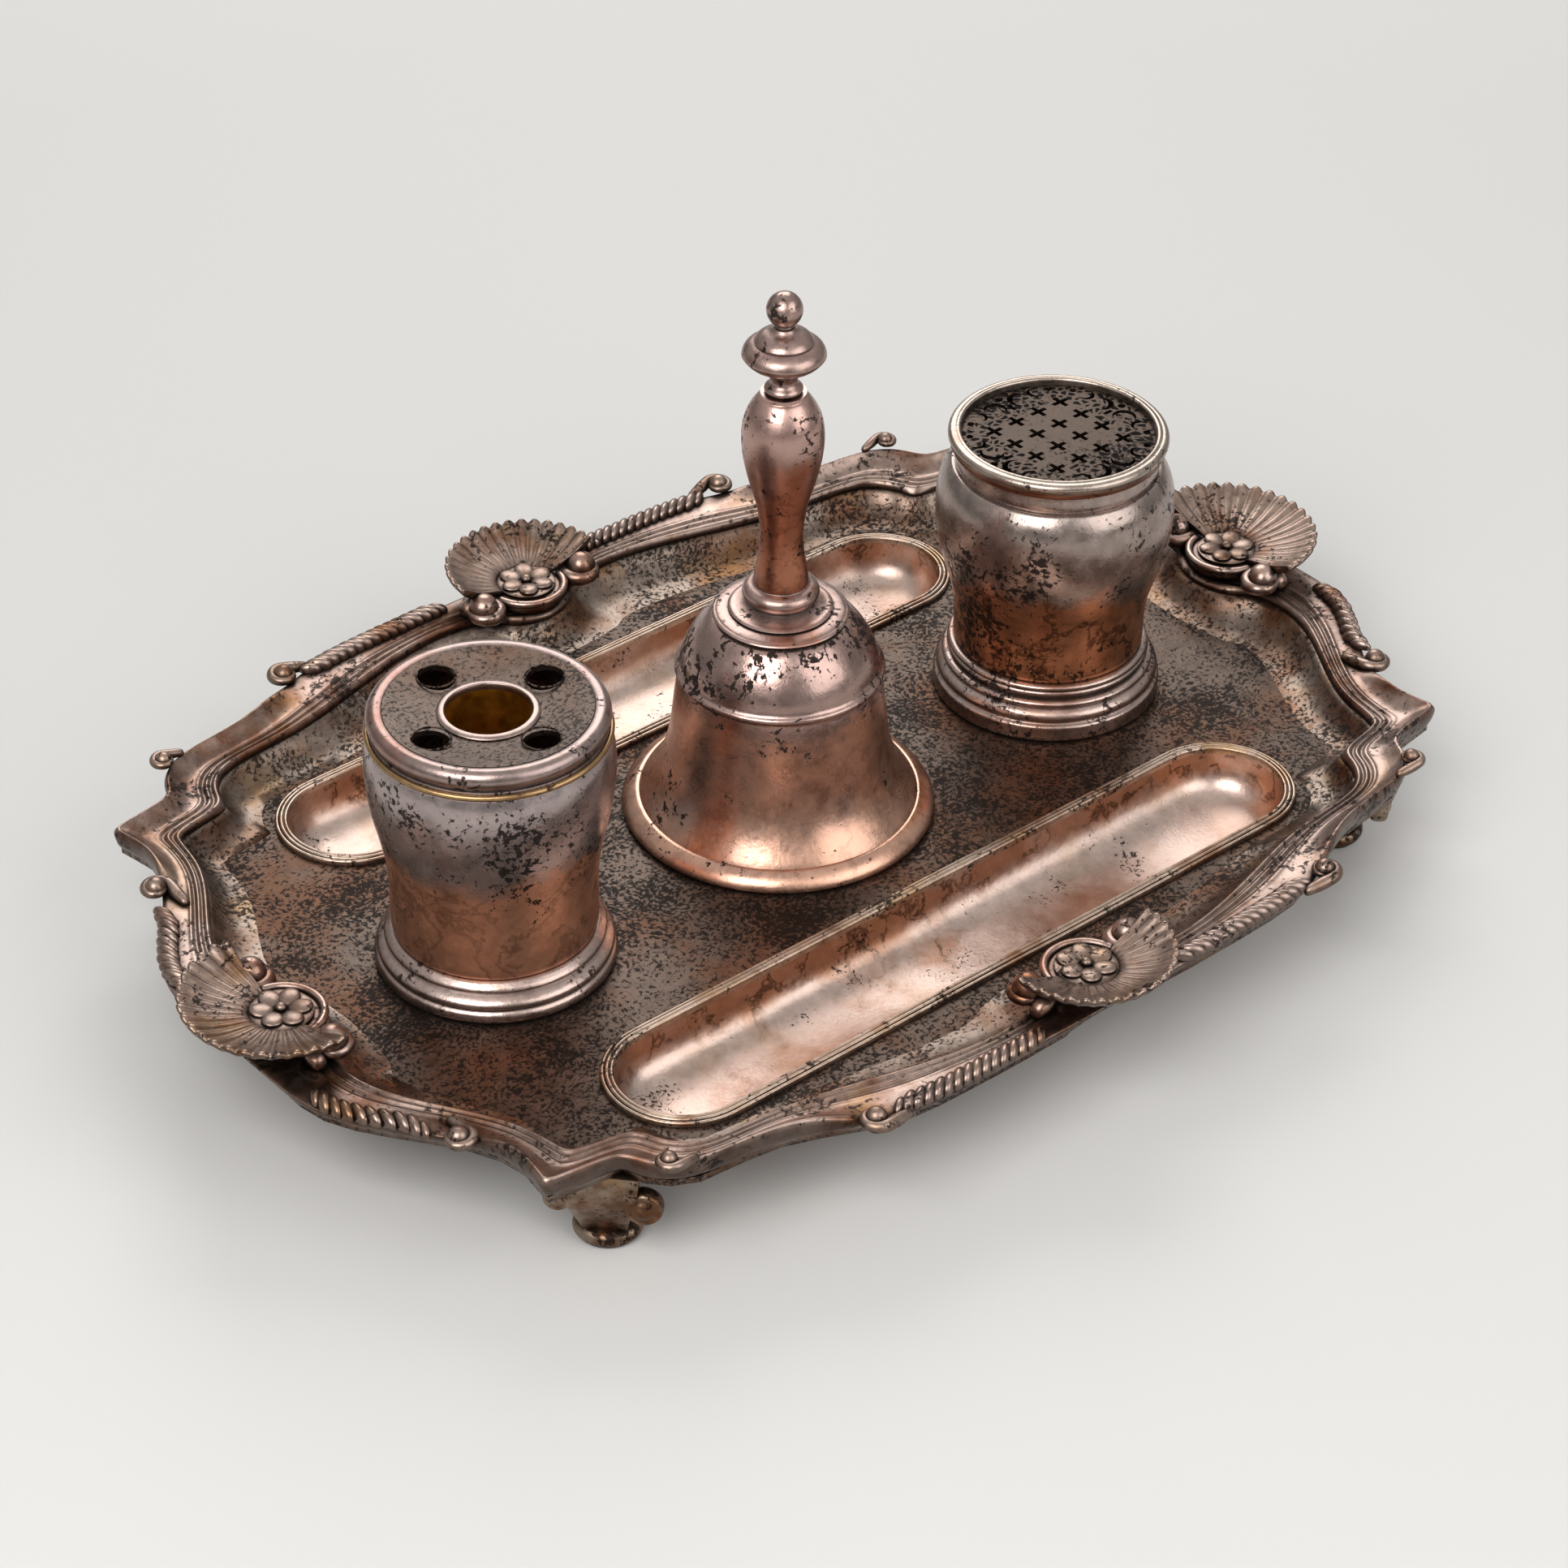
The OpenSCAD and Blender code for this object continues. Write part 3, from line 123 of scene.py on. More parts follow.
def platedMetal(name, **own):
    look = {**plateLook, **own}
    mat = bpy.data.materials.new(name)
    mat.use_nodes = True
    tree = mat.node_tree
    shader = tree.nodes["Principled BSDF"]
    add = partial(addNode, tree)
    layers = []                # share of the surface and its colour, laid over the plate in this order

    where = add("TexCoord", out="Object")
    moved = add("Mapping", {"Vector": where, "Location": (look["seed"], look["seed"] * 0.7, 0)})
    warp = add("TexNoise", {"Vector": moved, "Scale": perMm(look["warpMm"]), "Detail": 3}, "Color")
    bent = add("VectorMath", {0: warp, 1: [look["warpBy"]] * 3, 2: moved}, operation="MULTIPLY_ADD")

    # where the silver is rubbed through to the copper
    patch = add("TexNoise", {"Vector": bent, "Scale": perMm(look["patchMm"]), "Detail": 5, "Roughness": 0.6})
    band = add("MapRange", {"Value": add("SeparateXYZ", {0: where}, "Z"), "From Min": look["zFrom"], "From Max": look["zTo"],
                            "To Min": look["low"], "To Max": look["high"]})
    rubbed = add("Math", {0: patch, 1: band}, operation="ADD")
    rubbed = add("MapRange", {"Value": rubbed, "From Min": look["copperFrom"], "From Max": look["copperTo"]})
    colour = add("Mix", {"Factor": rubbed, 6: hexToLinear(look["silver"]), 7: hexToLinear(look["copper"])}, 2, data_type="RGBA")
    mottle = add("TexNoise", {"Vector": moved, "Scale": perMm(look["mottleMm"]), "Detail": 6, "Roughness": 0.7})
    shade = add("MapRange", {"Value": mottle, "From Min": 0.3, "From Max": 0.7,
                             "To Min": 1 - look["mottle"], "To Max": 1 + look["mottle"] * 0.45})
    colour = add("VectorMath", {0: colour, 1: shade}, operation="MULTIPLY")

    if look["stainShare"]:     # yellow-brown stain left by old polish
        stain = add("TexNoise", {"Vector": bent, "Scale": perMm(look["stainMm"]), "Detail": 4, "Roughness": 0.6}, "Color")
        stain = add("MapRange", {"Value": add("SeparateXYZ", {0: stain}, "Y"), "From Min": look["stainFrom"],
                                 "From Max": look["stainTo"], "To Max": look["stainShare"]})
        layers.append((stain, "stain"))
    if look["vein"]:           # dark wandering lines where the plate has let go
        line = add("TexNoise", {"Vector": bent, "Scale": perMm(look["veinMm"]), "Detail": 5, "Roughness": 0.62})
        line = add("Math", {0: add("Math", {0: line, 1: 0.5}, operation="SUBTRACT")}, operation="ABSOLUTE")
        line = add("MapRange", {"Value": line, "From Min": look["veinFrom"], "From Max": look["veinTo"],
                                "To Min": look["vein"], "To Max": 0.0})
        layers.append((add("Math", {0: line, 1: rubbed}, operation="MULTIPLY"), "recess"))
    if look["sides"]:          # painted shade: a face gets darker as it turns from facing up to facing sideways
        sideShade = add("SeparateXYZ", {0: add("NewGeometry", out="Normal")}, "Z")
        sideShade = add("MapRange", {"Value": sideShade, "From Min": look["sidesFrom"], "From Max": look["sidesTo"],
                                  "To Min": look["sides"], "To Max": 0.0})
        layers.append((sideShade, "recess"))

    # black tarnish in clustered specks
    speck = add("TexNoise", {"Vector": bent, "Scale": perMm(look["spotMm"]), "Detail": 4, "Roughness": 0.65})
    group = add("TexNoise", {"Vector": moved, "Scale": perMm(look["clusterMm"]), "Detail": 2})
    speck = add("Math", {0: group, 1: look["cluster"], 2: speck}, operation="MULTIPLY_ADD")
    if look["spotLean"]:       # fewer specks where the copper shows
        speck = add("Math", {0: band, 1: -look["spotLean"], 2: speck}, operation="MULTIPLY_ADD")
    edge = look["spotEdge"] + look["cluster"] * 0.5
    spot = add("MapRange", {"Value": speck, "From Min": edge, "From Max": edge + look["spotSoft"], "To Max": look["spotDark"]})
    # tarnishAndShade gathers the tarnish specks and the painted shade, and dulls the surface where they lie
    tarnishAndShade = spot

    if look["traceryMm"]:      # openwork leaf tracery outside the square of crosses, its cells painted dark: painted shade where openings would show the dark inside; the real leaves are about half this size
        outside = add("VectorMath", {0: where, 1: look["squareAt"]}, operation="SUBTRACT")
        outside = add("VectorMath", {0: outside}, operation="ABSOLUTE")
        outside = add("Math", {i: add("SeparateXYZ", {0: outside}, "XY"[i]) for i in (0, 1)}, operation="MAXIMUM")
        outside = add("Math", {0: outside, 1: look["squareHalf"]}, operation="GREATER_THAN")
        holeShade = add("TexVoronoi", {"Vector": bent, "Scale": perMm(look["traceryMm"])}, "Distance", feature="DISTANCE_TO_EDGE")
        holeShade = add("MapRange", {"Value": holeShade, "From Min": look["cellFrom"], "From Max": look["cellTo"]})
        holeShade = add("Math", {0: holeShade, 1: outside}, operation="MULTIPLY")
        layers.append((holeShade, "recess"))
        tarnishAndShade = add("Math", {0: tarnishAndShade, 1: holeShade}, operation="MAXIMUM")
    layers.append((spot, "tarnish"))
    if look["recessMm"]:       # painted shade in the hollows, darker the more the ambient occlusion closes them in, together with the tarnish that collects there
        lit = add("AmbientOcclusion", {"Distance": look["recessMm"] * mm}, "AO", samples=8)
        hollowShade = add("MapRange", {"Value": lit, "From Min": look["recessFrom"], "From Max": look["recessTo"],
                                "To Min": look["recessDark"], "To Max": 0.0})
        layers.append((hollowShade, "recess"))
        tarnishAndShade = add("Math", {0: tarnishAndShade, 1: hollowShade}, operation="MAXIMUM")
    for share, tone in layers:
        colour = add("Mix", {"Factor": share, 6: colour, 7: hexToLinear(look[tone])}, 2, data_type="RGBA")
    tree.links.new(colour, shader.inputs["Base Color"])

    matt = add("MapRange", {"Value": mottle, "From Min": 0.35, "From Max": 0.7,
                            "To Min": look["smooth"], "To Max": look["smooth"] + look["clouded"]})
    matt = add("Math", {0: rubbed, 1: look["worn"], 2: matt}, operation="MULTIPLY_ADD")
    matt = add("Mix", {"Factor": tarnishAndShade, 2: matt, 3: look["dull"]}, data_type="FLOAT")
    tree.links.new(matt, shader.inputs["Roughness"])
    metal = add("MapRange", {"Value": tarnishAndShade, "To Min": look["metal"], "To Max": look["spotMetal"]})
    tree.links.new(metal, shader.inputs["Metallic"])

    wave = add("TexNoise", {"Vector": moved, "Scale": perMm(look["waveMm"]), "Detail": 1})
    bump = add("Bump", {"Height": wave, "Strength": 1.0, "Distance": look["wave"]})
    bump = add("Bump", {"Height": speck, "Strength": 1.0, "Distance": look["grit"], "Normal": bump})
    tree.links.new(bump, shader.inputs["Normal"])
    return mat


finish = {
    # plated sheet that no cloth reaches between the pieces: matt grey-brown, finely speckled black all over
    "floor": platedMetal("silverPlateTarnishedFloor", silver="#61534a", copper="#684b3a", tarnish="#16100d", patchMm=30,
                         copperFrom=0.47, copperTo=0.62, spotMm=0.95, clusterMm=20, cluster=0.45, spotEdge=0.475, spotSoft=0.08,
                         spotDark=0.9, smooth=0.38, dull=0.62, mottle=0.5, grit=0.0001),
    # the same sheet pressed up into the wall: a little cleaner, with blotches of tarnish and yellow stain
    "wall": platedMetal("silverPlateTarnishedWall", silver="#87786d", copper="#70503d", tarnish="#18110e", patchMm=26,
                        copperFrom=0.45, copperTo=0.6, spotMm=1.0, clusterMm=18, cluster=0.5, spotEdge=0.5, spotSoft=0.1,
                        spotDark=0.88, smooth=0.28, dull=0.6, mottle=0.5, stainShare=0.35, seed=1.2),
    # pressed trough, polished by pens and cloth: pale and bright along the bottom, coppery up the sides
    "trough": platedMetal("silverPlateRubbedTrough", silver="#c6afa3", copper="#ac8066", patchMm=30, zFrom=0.0110, zTo=0.0160,
                          low=-0.1, high=0.16, copperTo=0.66, spotMm=0.9, clusterMm=12, cluster=0.9,
                          spotEdge=0.69, smooth=0.28, mottle=0.25, recessMm=1.0, recessTo=0.9,
                          stainShare=0.3, vein=0.7, seed=3.1),
    # rolled reeds round the trough: pale lines, with painted shade and tarnish between them and patches of old polish
    # stain
    "reed": platedMetal("silverPlateRolledReeds", silver="#b8a291", copper="#8f6a50", patchMm=16, copperTo=0.68,
                        spotMm=1.2, clusterMm=12, cluster=0.7, spotEdge=0.62, smooth=0.24, recessMm=0.8, recessFrom=0.45,
                        recessTo=0.95, mottle=0.35, stainShare=0.6, stainMm=20, seed=2.2),
    # cast and chased border: bright on the ridges, with painted shade and tarnish brown-black in the hollows, and
    # painted shade on the sides
    "border": platedMetal("silverPlateCastBorder", silver="#a38d82", copper="#775442", patchMm=20, copperFrom=0.46,
                          copperTo=0.62, spotMm=1.5, clusterMm=14, cluster=0.7, spotEdge=0.57, spotSoft=0.1, smooth=0.26,
                          recessMm=3.0, recessFrom=0.5, recessTo=1.0, sides=0.65, mottle=0.4, stainShare=0.38, stainMm=20,
                          seed=5.2),
    # cast gadroons: a rubbed, pinkish crown on each lobe, a dark line of painted shade and tarnish between lobes, and
    # painted shade on the sides
    "gadroon": platedMetal("silverPlateCastGadroons", silver="#a38e84", copper="#7c5743", patchMm=18, spotMm=1.3, clusterMm=12,
                           cluster=0.6, spotEdge=0.6, smooth=0.26, recessMm=1.8, sides=0.5, mottle=0.35, stainShare=0.35,
                           seed=4.9),
    # cast shells and scrolls: warm worn ribs over flutes darkened by painted shade and tarnish, with painted shade on
    # the sides
    "shell": platedMetal("silverPlateCastShell", silver="#a18b7e", copper="#7a543e", patchMm=12, spotMm=1.4, clusterMm=12,
                         cluster=0.6, spotEdge=0.6, smooth=0.3, recessMm=2.4, recessFrom=0.55, recessTo=0.98, sides=0.5,
                         mottle=0.4, stainShare=0.35, seed=7.7),
    # cast rosettes: small rounded petals, browner and duller than the shells, with painted shade and tarnish in the
    # hollows and painted shade on the sides
    "rosette": platedMetal("silverPlateCastRosette", silver="#9b867a", copper="#70503d", patchMm=8, spotMm=1.2, spotEdge=0.6,
                           smooth=0.3, recessMm=2.0, recessFrom=0.5, recessTo=0.98, sides=0.6, mottle=0.4, stainShare=0.4,
                           seed=6.6),
    # cast volutes at the rosettes: the highest points, so the cleanest and pinkest silver on the border, with painted
    # shade and tarnish in the hollows and painted shade on the sides
    "lip": platedMetal("silverPlateCastVolute", silver="#b3998d", copper="#8e6049", patchMm=14, copperFrom=0.48, copperTo=0.66,
                       spotMm=1.4, clusterMm=10, cluster=0.7, spotEdge=0.62, smooth=0.24, recessMm=2.0, recessFrom=0.4,
                       recessTo=0.95, sides=0.55, mottle=0.35, stainShare=0.35, seed=5.9),
    # cast feet, seldom cleaned: olive-brown with yellow stain, and painted shade and tarnish black in the hollows
    "foot": platedMetal("silverPlateCastFoot", silver="#958371", copper="#6b4b36", patchMm=10, copperFrom=0.46, copperTo=0.6,
                        spotMm=1.6, clusterMm=10, cluster=0.7, spotEdge=0.58, smooth=0.28, recessMm=2.5, recessFrom=0.3,
                        mottle=0.4, stainShare=0.7, stainMm=11, seed=4.2),
    # turned foot rings of the pots: bright beads, with painted shade and tarnish as black lines between them
    "base": platedMetal("silverPlateTurnedBase", silver="#b39e95", copper="#9a6e58", patchMm=24, copperFrom=0.54, copperTo=0.74,
                        spotMm=1.4, clusterMm=14, cluster=0.8, spotEdge=0.61, smooth=0.22, recessMm=1.4, recessFrom=0.3,
                        recessTo=0.88, seed=6.1),
    # spun ink pot: grey silver left on the shoulder, rubbed to clean copper on the waist where it is held
    "inkBody": platedMetal("silverPlateSpunInkPot", silver="#a89a97", copper="#dba283", tarnish="#120c0a", patchMm=22,
                           zFrom=0.047, zTo=0.058, low=0.3, high=-0.2, copperTo=0.68, spotMm=1.4, clusterMm=14,
                           spotEdge=0.61, cluster=0.65, spotLean=0.25, worn=0.1, metal=0.9, vein=0.35, mottle=0.25, seed=2.4),
    # spun pounce pot: a wider band of silver, and redder copper with dark wandering lines
    "pounceBody": platedMetal("silverPlateSpunPouncePot", silver="#a2928a", copper="#c98b66", patchMm=22, zFrom=0.050,
                              zTo=0.061, low=0.32, high=-0.16, copperTo=0.7, clusterMm=14, spotEdge=0.6,
                              cluster=0.8, worn=0.08, metal=0.94, vein=0.7, mottle=0.35, seed=4.6),
    # turned bead round the ink pot's top: smooth pinkish silver with a few black chips
    "rim": platedMetal("silverPlateTurnedRim", silver="#9c8983", copper="#946a5c", patchMm=24, copperTo=0.74,
                       clusterMm=12, cluster=0.8, spotEdge=0.64, smooth=0.26, recessMm=1.0, seed=6.3),
    # turned bead of the pounce pot's lid: creamy where handled, coppery underneath
    "lidRim": platedMetal("silverPlateTurnedLidRim", silver="#aa9c90", copper="#8a5f4a", patchMm=24, zFrom=0.0825, zTo=0.0838,
                          low=0.3, high=-0.12, copperTo=0.7, spotMm=1.4, clusterMm=12, cluster=0.7,
                          spotEdge=0.66, smooth=0.24, recessMm=0.8, seed=6.9),
    # spun bell: silver dome with black clusters, and a long copper flare rubbed to a soft shine
    "bell": platedMetal("silverPlateSpunBell", silver="#ab9087", copper="#cca089", tarnish="#0d0807", patchMm=26, zFrom=0.050,
                        zTo=0.056, low=0.2, high=-0.12, spotMm=1.7, clusterMm=13, spotEdge=0.6, cluster=0.75, spotLean=0.35,
                        dull=0.75, worn=0.05, metal=0.96, mottle=0.22, vein=0.2, seed=8.3),
    # turned rings, knop and finial of the bell: rosy silver, with painted shade and tarnish dark in the grooves
    "crown": platedMetal("silverPlateTurnedCrown", silver="#ab9188", copper="#966854", patchMm=16, copperTo=0.7,
                         clusterMm=10, cluster=0.8, spotEdge=0.63, smooth=0.25, recessMm=1.8, recessFrom=0.45, recessTo=0.95,
                         seed=3.7),
    # turned handle: copper where the hand closes, silver towards the top
    "handle": platedMetal("silverPlateTurnedHandle", silver="#bb9a90", copper="#b0745a", patchMm=18, zFrom=0.098, zTo=0.112,
                          low=0.28, high=-0.1, clusterMm=14, spotEdge=0.625, cluster=0.9, smooth=0.25, mottle=0.22, vein=0.3,
                          seed=9.4),
    # pierced top of the ink pot: matt, ink-darkened brown with fine pitting
    "inkTop": platedMetal("silverPlatePiercedTop", silver="#63554c", copper="#664b3b", tarnish="#1a1310", spotMm=0.9,
                          cluster=0.3, spotEdge=0.5, spotSoft=0.12, smooth=0.38, mottle=0.45, seed=1.7),
    # pierced lid of the pounce pot: dark matt plate; the black in and round every opening is painted shade
    "grille": platedMetal("silverPlatePiercedLid", silver="#51443b", copper="#574132", tarnish="#17110e", recess="#0e0b09",
                          dull=0.8, traceryMm=1.9, squareAt=(0.0775, 0, 0), squareHalf=0.0114, spotMm=1.0, spotEdge=0.55,
                          spotSoft=0.12, smooth=0.4, recessMm=0.8, mottle=0.45, seed=2.9),
    # spun cup: plated flange, gilded inside, so it glows deep yellow down in the dark
    "cup": platedMetal("silverPlateGildedCup", silver="#a08c84", copper="#c89432", tarnish="#1e1004", patchMm=10, zFrom=0.0790,
                       zTo=0.0797, low=1.0, high=-1.0, spotEdge=0.7, smooth=0.26, seed=0.6),
    # drawn wire, once gilded: a thin brassy line
    "wire": platedMetal("silverPlateGildedWire", silver="#a58660", copper="#805a40", patchMm=14, smooth=0.26, recessMm=0.6,
                        seed=0.9)}

# solids that stay as they are
for node, look in (("tray_floor", "floor"), ("ink_top_plate", "inkTop"), ("pounce_grille", "grille"), ("bell_stud", "bell"),
                   ("clapper_fork", "shell"), ("clapper_ball", "bell")):
    nodes[node].data.materials.clear()
    nodes[node].data.materials.append(finish[look])
print("finishes ready")


# modelling helpers

def startClean():
    if bpy.context.mode != "OBJECT":
        bpy.ops.object.mode_set(mode="OBJECT")
    bpy.ops.object.select_all(action="DESELECT")


def useOnly(piece):
    startClean()
    piece.select_set(True)
    bpy.context.view_layer.objects.active = piece


def applyPlace():
    bpy.ops.object.transform_apply(location=True, rotation=True, scale=True)


def editAll(kind="VERT"):
    bpy.ops.object.mode_set(mode="EDIT")
    bpy.ops.mesh.select_mode(type=kind)
    bpy.ops.mesh.select_all(action="SELECT")


def mergeAll(gap=1e-5):
    bpy.ops.mesh.select_all(action="SELECT")
    bpy.ops.mesh.remove_doubles(threshold=gap)


def faceOut():
    bpy.ops.mesh.select_all(action="SELECT")
    bpy.ops.mesh.normals_make_consistent(inside=False)


def creaseSharp(angle, amount):
    bpy.ops.mesh.select_mode(type="EDGE")
    bpy.ops.mesh.select_all(action="DESELECT")
    bpy.ops.mesh.edges_select_sharp(sharpness=math.radians(angle))
    bpy.ops.transform.edge_crease(value=amount)


def applySubdivision(piece, levels):
    useOnly(piece)
    smooth = piece.modifiers.new("smooth", "SUBSURF")
    smooth.levels = smooth.render_levels = levels
    bpy.ops.object.modifier_apply(modifier=smooth.name)


def shadeSmooth(piece, angle=60):
    useOnly(piece)
    bpy.ops.object.shade_smooth_by_angle(angle=math.radians(angle))


def inMetres(place):
    return [v * mm for v in place]


def handOver(piece, body, look, *replaced):
    piece.data.materials.clear()
    piece.data.materials.append(finish[look])
    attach(piece, body)
    if replaced:
        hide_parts(*replaced)
    return piece


def startPoint(name, place):
    startClean()
    bpy.ops.mesh.primitive_plane_add(size=mm, location=inMetres(place))
    piece = bpy.context.object
    piece.name = piece.data.name = name
    applyPlace()
    editAll()
    bpy.ops.mesh.merge(type="CENTER")
    return piece


# draws a half section from the point that is selected, outwards along X, or along another direction
def drawProfile(profile, outX=1, outY=0):
    for (r0, z0), (r1, z1) in zip(profile, profile[1:]):
        bpy.ops.mesh.extrude_region_move(TRANSFORM_OT_translate={"value": inMetres((outX * (r1 - r0), outY * (r1 - r0), z1 - z0))})


# draws the selection on in place and turns it about Z; with no window a turn goes the other way, so it gets its sign here
def sweepOn(angle, extrude=True):
    if extrude:
        bpy.ops.mesh.extrude_region_move(TRANSFORM_OT_translate={"value": (0, 0, 0)})
    bpy.ops.transform.rotate(value=-math.radians(angle), orient_axis="Z", center_override=(0, 0, 0))


turning = {"sharp": 50, "crease": 0.6}


# a turned piece: its half section is drawn, spun and smoothed; a section that starts off the axis is a closed ring
def turnPiece(name, at, profile, steps=48, levels=2):
    piece = startPoint(name, (at[0] + profile[0][0], at[1], at[2] + profile[0][1]))
    drawProfile(profile + profile[:1] if profile[0][0] > 0 else profile)
    mergeAll(1e-6)
    bpy.ops.mesh.spin(steps=steps, angle=math.tau, center=inMetres(at), axis=(0, 0, 1))
    mergeAll()
    bpy.ops.mesh.normals_make_consistent(inside=False)
    creaseSharp(turning["sharp"], turning["crease"])
    applySubdivision(piece, levels)
    shadeSmooth(piece)
    return piece


# points of an arc in a half section
def ringArc(middle, r, start, end, n=6):
    return [(middle[0] + r * math.cos(math.radians(start + (end - start) * k / n)),
             middle[1] + r * math.sin(math.radians(start + (end - start) * k / n))) for k in range(n + 1)]


def joinUp(parts, name, smooth=60):
    startClean()
    for part in parts:
        part.select_set(True)
    bpy.context.view_layer.objects.active = parts[0]
    bpy.ops.object.join()
    parts[0].name = parts[0].data.name = name
    shadeSmooth(parts[0], smooth)
    return parts[0]


# a copy with its own mesh, turned, mirrored and put in place
def placeCopy(master, name, place=(0, 0, 0), turn=0, flipX=False, flipY=False, size=1):
    copy = master.copy()
    copy.data = master.data.copy()
    copy.name = copy.data.name = name
    bpy.context.scene.collection.objects.link(copy)
    flip = Matrix.Diagonal((-size if flipX else size, -size if flipY else size, size, 1))
    copy.data.transform(Matrix.Translation(inMetres(place)) @ flip @ Matrix.Rotation(math.radians(turn), 4, "Z"))
    if flipX != flipY:
        copy.data.flip_normals()
    return copy


def titleOf(node):
    return node.title().replace("_", "")


# ink pot

inkPot = {
    "at": (-81.0, 0.0, floorZ),
    "base": [(19.7, 0), (24.8, 0), (25.5, 0.5), (25.7, 1.5), (25.5, 2.4), (24.9, 3.0), (24.4, 3.2),
             (25.0, 3.5), (25.1, 4.0), (24.9, 4.7), (24.1, 5.4), (23.1, 5.9), (22.8, 6.2),
             (23.4, 6.6), (23.5, 7.0), (23.1, 7.7), (22.4, 8.2), (21.9, 8.7), (19.7, 8.7)],
    "body": [(0, 8.7), (21.8, 8.7), (21.8, 13.7), (21.8, 19.6), (22.1, 25.6), (23.6, 33), (25.4, 40.4), (26, 47.9),
             (25.85, 51.9), (25.4, 54.3), (24.75, 55.8), (24.6, 56.3), (24.6, 58.3), (23.4, 58.3), (23.4, 54.3),
             (24.6, 51.9), (24.8, 47.9), (24.2, 40.4), (22.4, 33), (20.9, 25.6), (20.6, 19.6), (20.6, 9.9), (0, 9.9)],
    "rim": [(21.6, 61.2), (22.0, 54.7), (23.1, 54.7), (23.1, 58.3), (24.1, 58.3)] + ringArc((22.9, 60.5), 2.2, -40, 100, 8)
           + [(21.7, 62.45), (21.6, 62.3)],
    "wire": ringArc((24.9, 57.15), 0.7, -110, 110, 8),
    "cup": [(0, 27), (6.7, 27), (8.74, 27.7), (9.3, 29.8), (9.3, 61), (10.5, 61), (10.65, 61.3), (10.2, 61.7), (9.1, 61.75),
            (8.7, 61.3), (8.7, 30.2), (8, 28.2), (6.5, 27.6), (0, 27.6)],
    "quillLip": ringArc((4.05, 0), 0.25, 0, 360, 8)[:-1], "quillGap": 15.6, "quillTurn": 5.5, "lipHeight": 62.05}

handOver(turnPiece("inkBaseRings", inkPot["at"], inkPot["base"]), "ink_pot", "base", "ink_base")
handOver(turnPiece("inkBodyTurned", inkPot["at"], inkPot["body"]), "ink_pot", "inkBody", "ink_body")
handOver(turnPiece("inkWireTurned", inkPot["at"], inkPot["wire"]), "ink_pot", "wire", "ink_wire")
handOver(turnPiece("inkTopRimTurned", inkPot["at"], inkPot["rim"]), "ink_top", "rim", "ink_top_rim")
handOver(turnPiece("inkCupTurned", inkPot["at"], inkPot["cup"]), "ink_liner", "cup", "ink_cup")
for i in range(4):          # a thin raised edge round each quill hole
    a = math.radians(90 * i + inkPot["quillTurn"])
    lipAt = (inkPot["at"][0] + inkPot["quillGap"] * math.cos(a), inkPot["at"][1] + inkPot["quillGap"] * math.sin(a),
             floorZ + inkPot["lipHeight"])
    handOver(turnPiece(f"quillLip{i}", lipAt, inkPot["quillLip"], steps=24, levels=1), "ink_top", "grille")
print("ink pot ready")


# pounce pot

pouncePot = {
    "at": (77.5, 0.0, floorZ),
    "base": [(18.9, 0), (25.3, 0), (25.9, 0.5), (25.9, 3.4), (25.7, 4.0), (25.0, 4.3), (24.8, 4.6),
             (25.25, 5.0), (25.4, 5.8), (25.1, 6.8), (24.2, 7.5), (23.6, 7.8), (24.0, 8.2), (24.1, 8.7), (23.8, 9.2),
             (23.1, 9.5), (22.1, 9.7), (22.1, 10.1), (22.7, 10.4), (23.0, 10.9), (22.8, 11.4), (22.4, 11.6),
             (22.8, 11.9), (22.8, 12.4), (22.4, 12.8), (21.8, 13), (18.9, 13)],
    "body": [(0, 13), (21.6, 13), (21.6, 16.6), (21.7, 22.1), (22.5, 27.5), (24.3, 32.5), (26.2, 39.8), (26.9, 46.8),
             (26.6, 51.6), (26, 54.3), (25, 56.6), (23.5, 58.4), (21.4, 58.4), (21.4, 57.2), (23.3, 54.8), (25.4, 51.6),
             (25.7, 46.8), (25, 39.8), (23.1, 32.5), (21.3, 27.5), (20.5, 22.1), (20.4, 14.2), (0, 14.2)],
    "neck": [(21.4, 58.4), (22.6, 58.4), (22.9, 59.7), (22.6, 61.5), (22.6, 62.8), (21.4, 62.8)],
    "lid": [(20.1, 59.2), (21.1, 59.2), (21.1, 62.8), (23.7, 62.8), (24.0, 63.2), (24.1, 64.2)]
           + ringArc((23.4, 65.4), 1.2, -30, 110, 6) + ringArc((22.3, 66.1), 0.72, 60, 180, 4)
           + [(21.5, 64), (20.6, 64), (20.6, 62.8), (20.1, 62.8)]}

handOver(turnPiece("pounceBaseRings", pouncePot["at"], pouncePot["base"]), "pounce_pot", "base", "pounce_base")
handOver(turnPiece("pounceBodyTurned", pouncePot["at"], pouncePot["body"]), "pounce_pot", "pounceBody", "pounce_body")
handOver(turnPiece("pounceNeckTurned", pouncePot["at"], pouncePot["neck"]), "pounce_pot", "pounceBody", "pounce_neck")
handOver(turnPiece("pounceLidTurned", pouncePot["at"], pouncePot["lid"]), "pounce_lid", "lidRim", "pounce_lid_rim")
print("pounce pot ready")


# bell: each part has its own section, drawn from its own foot

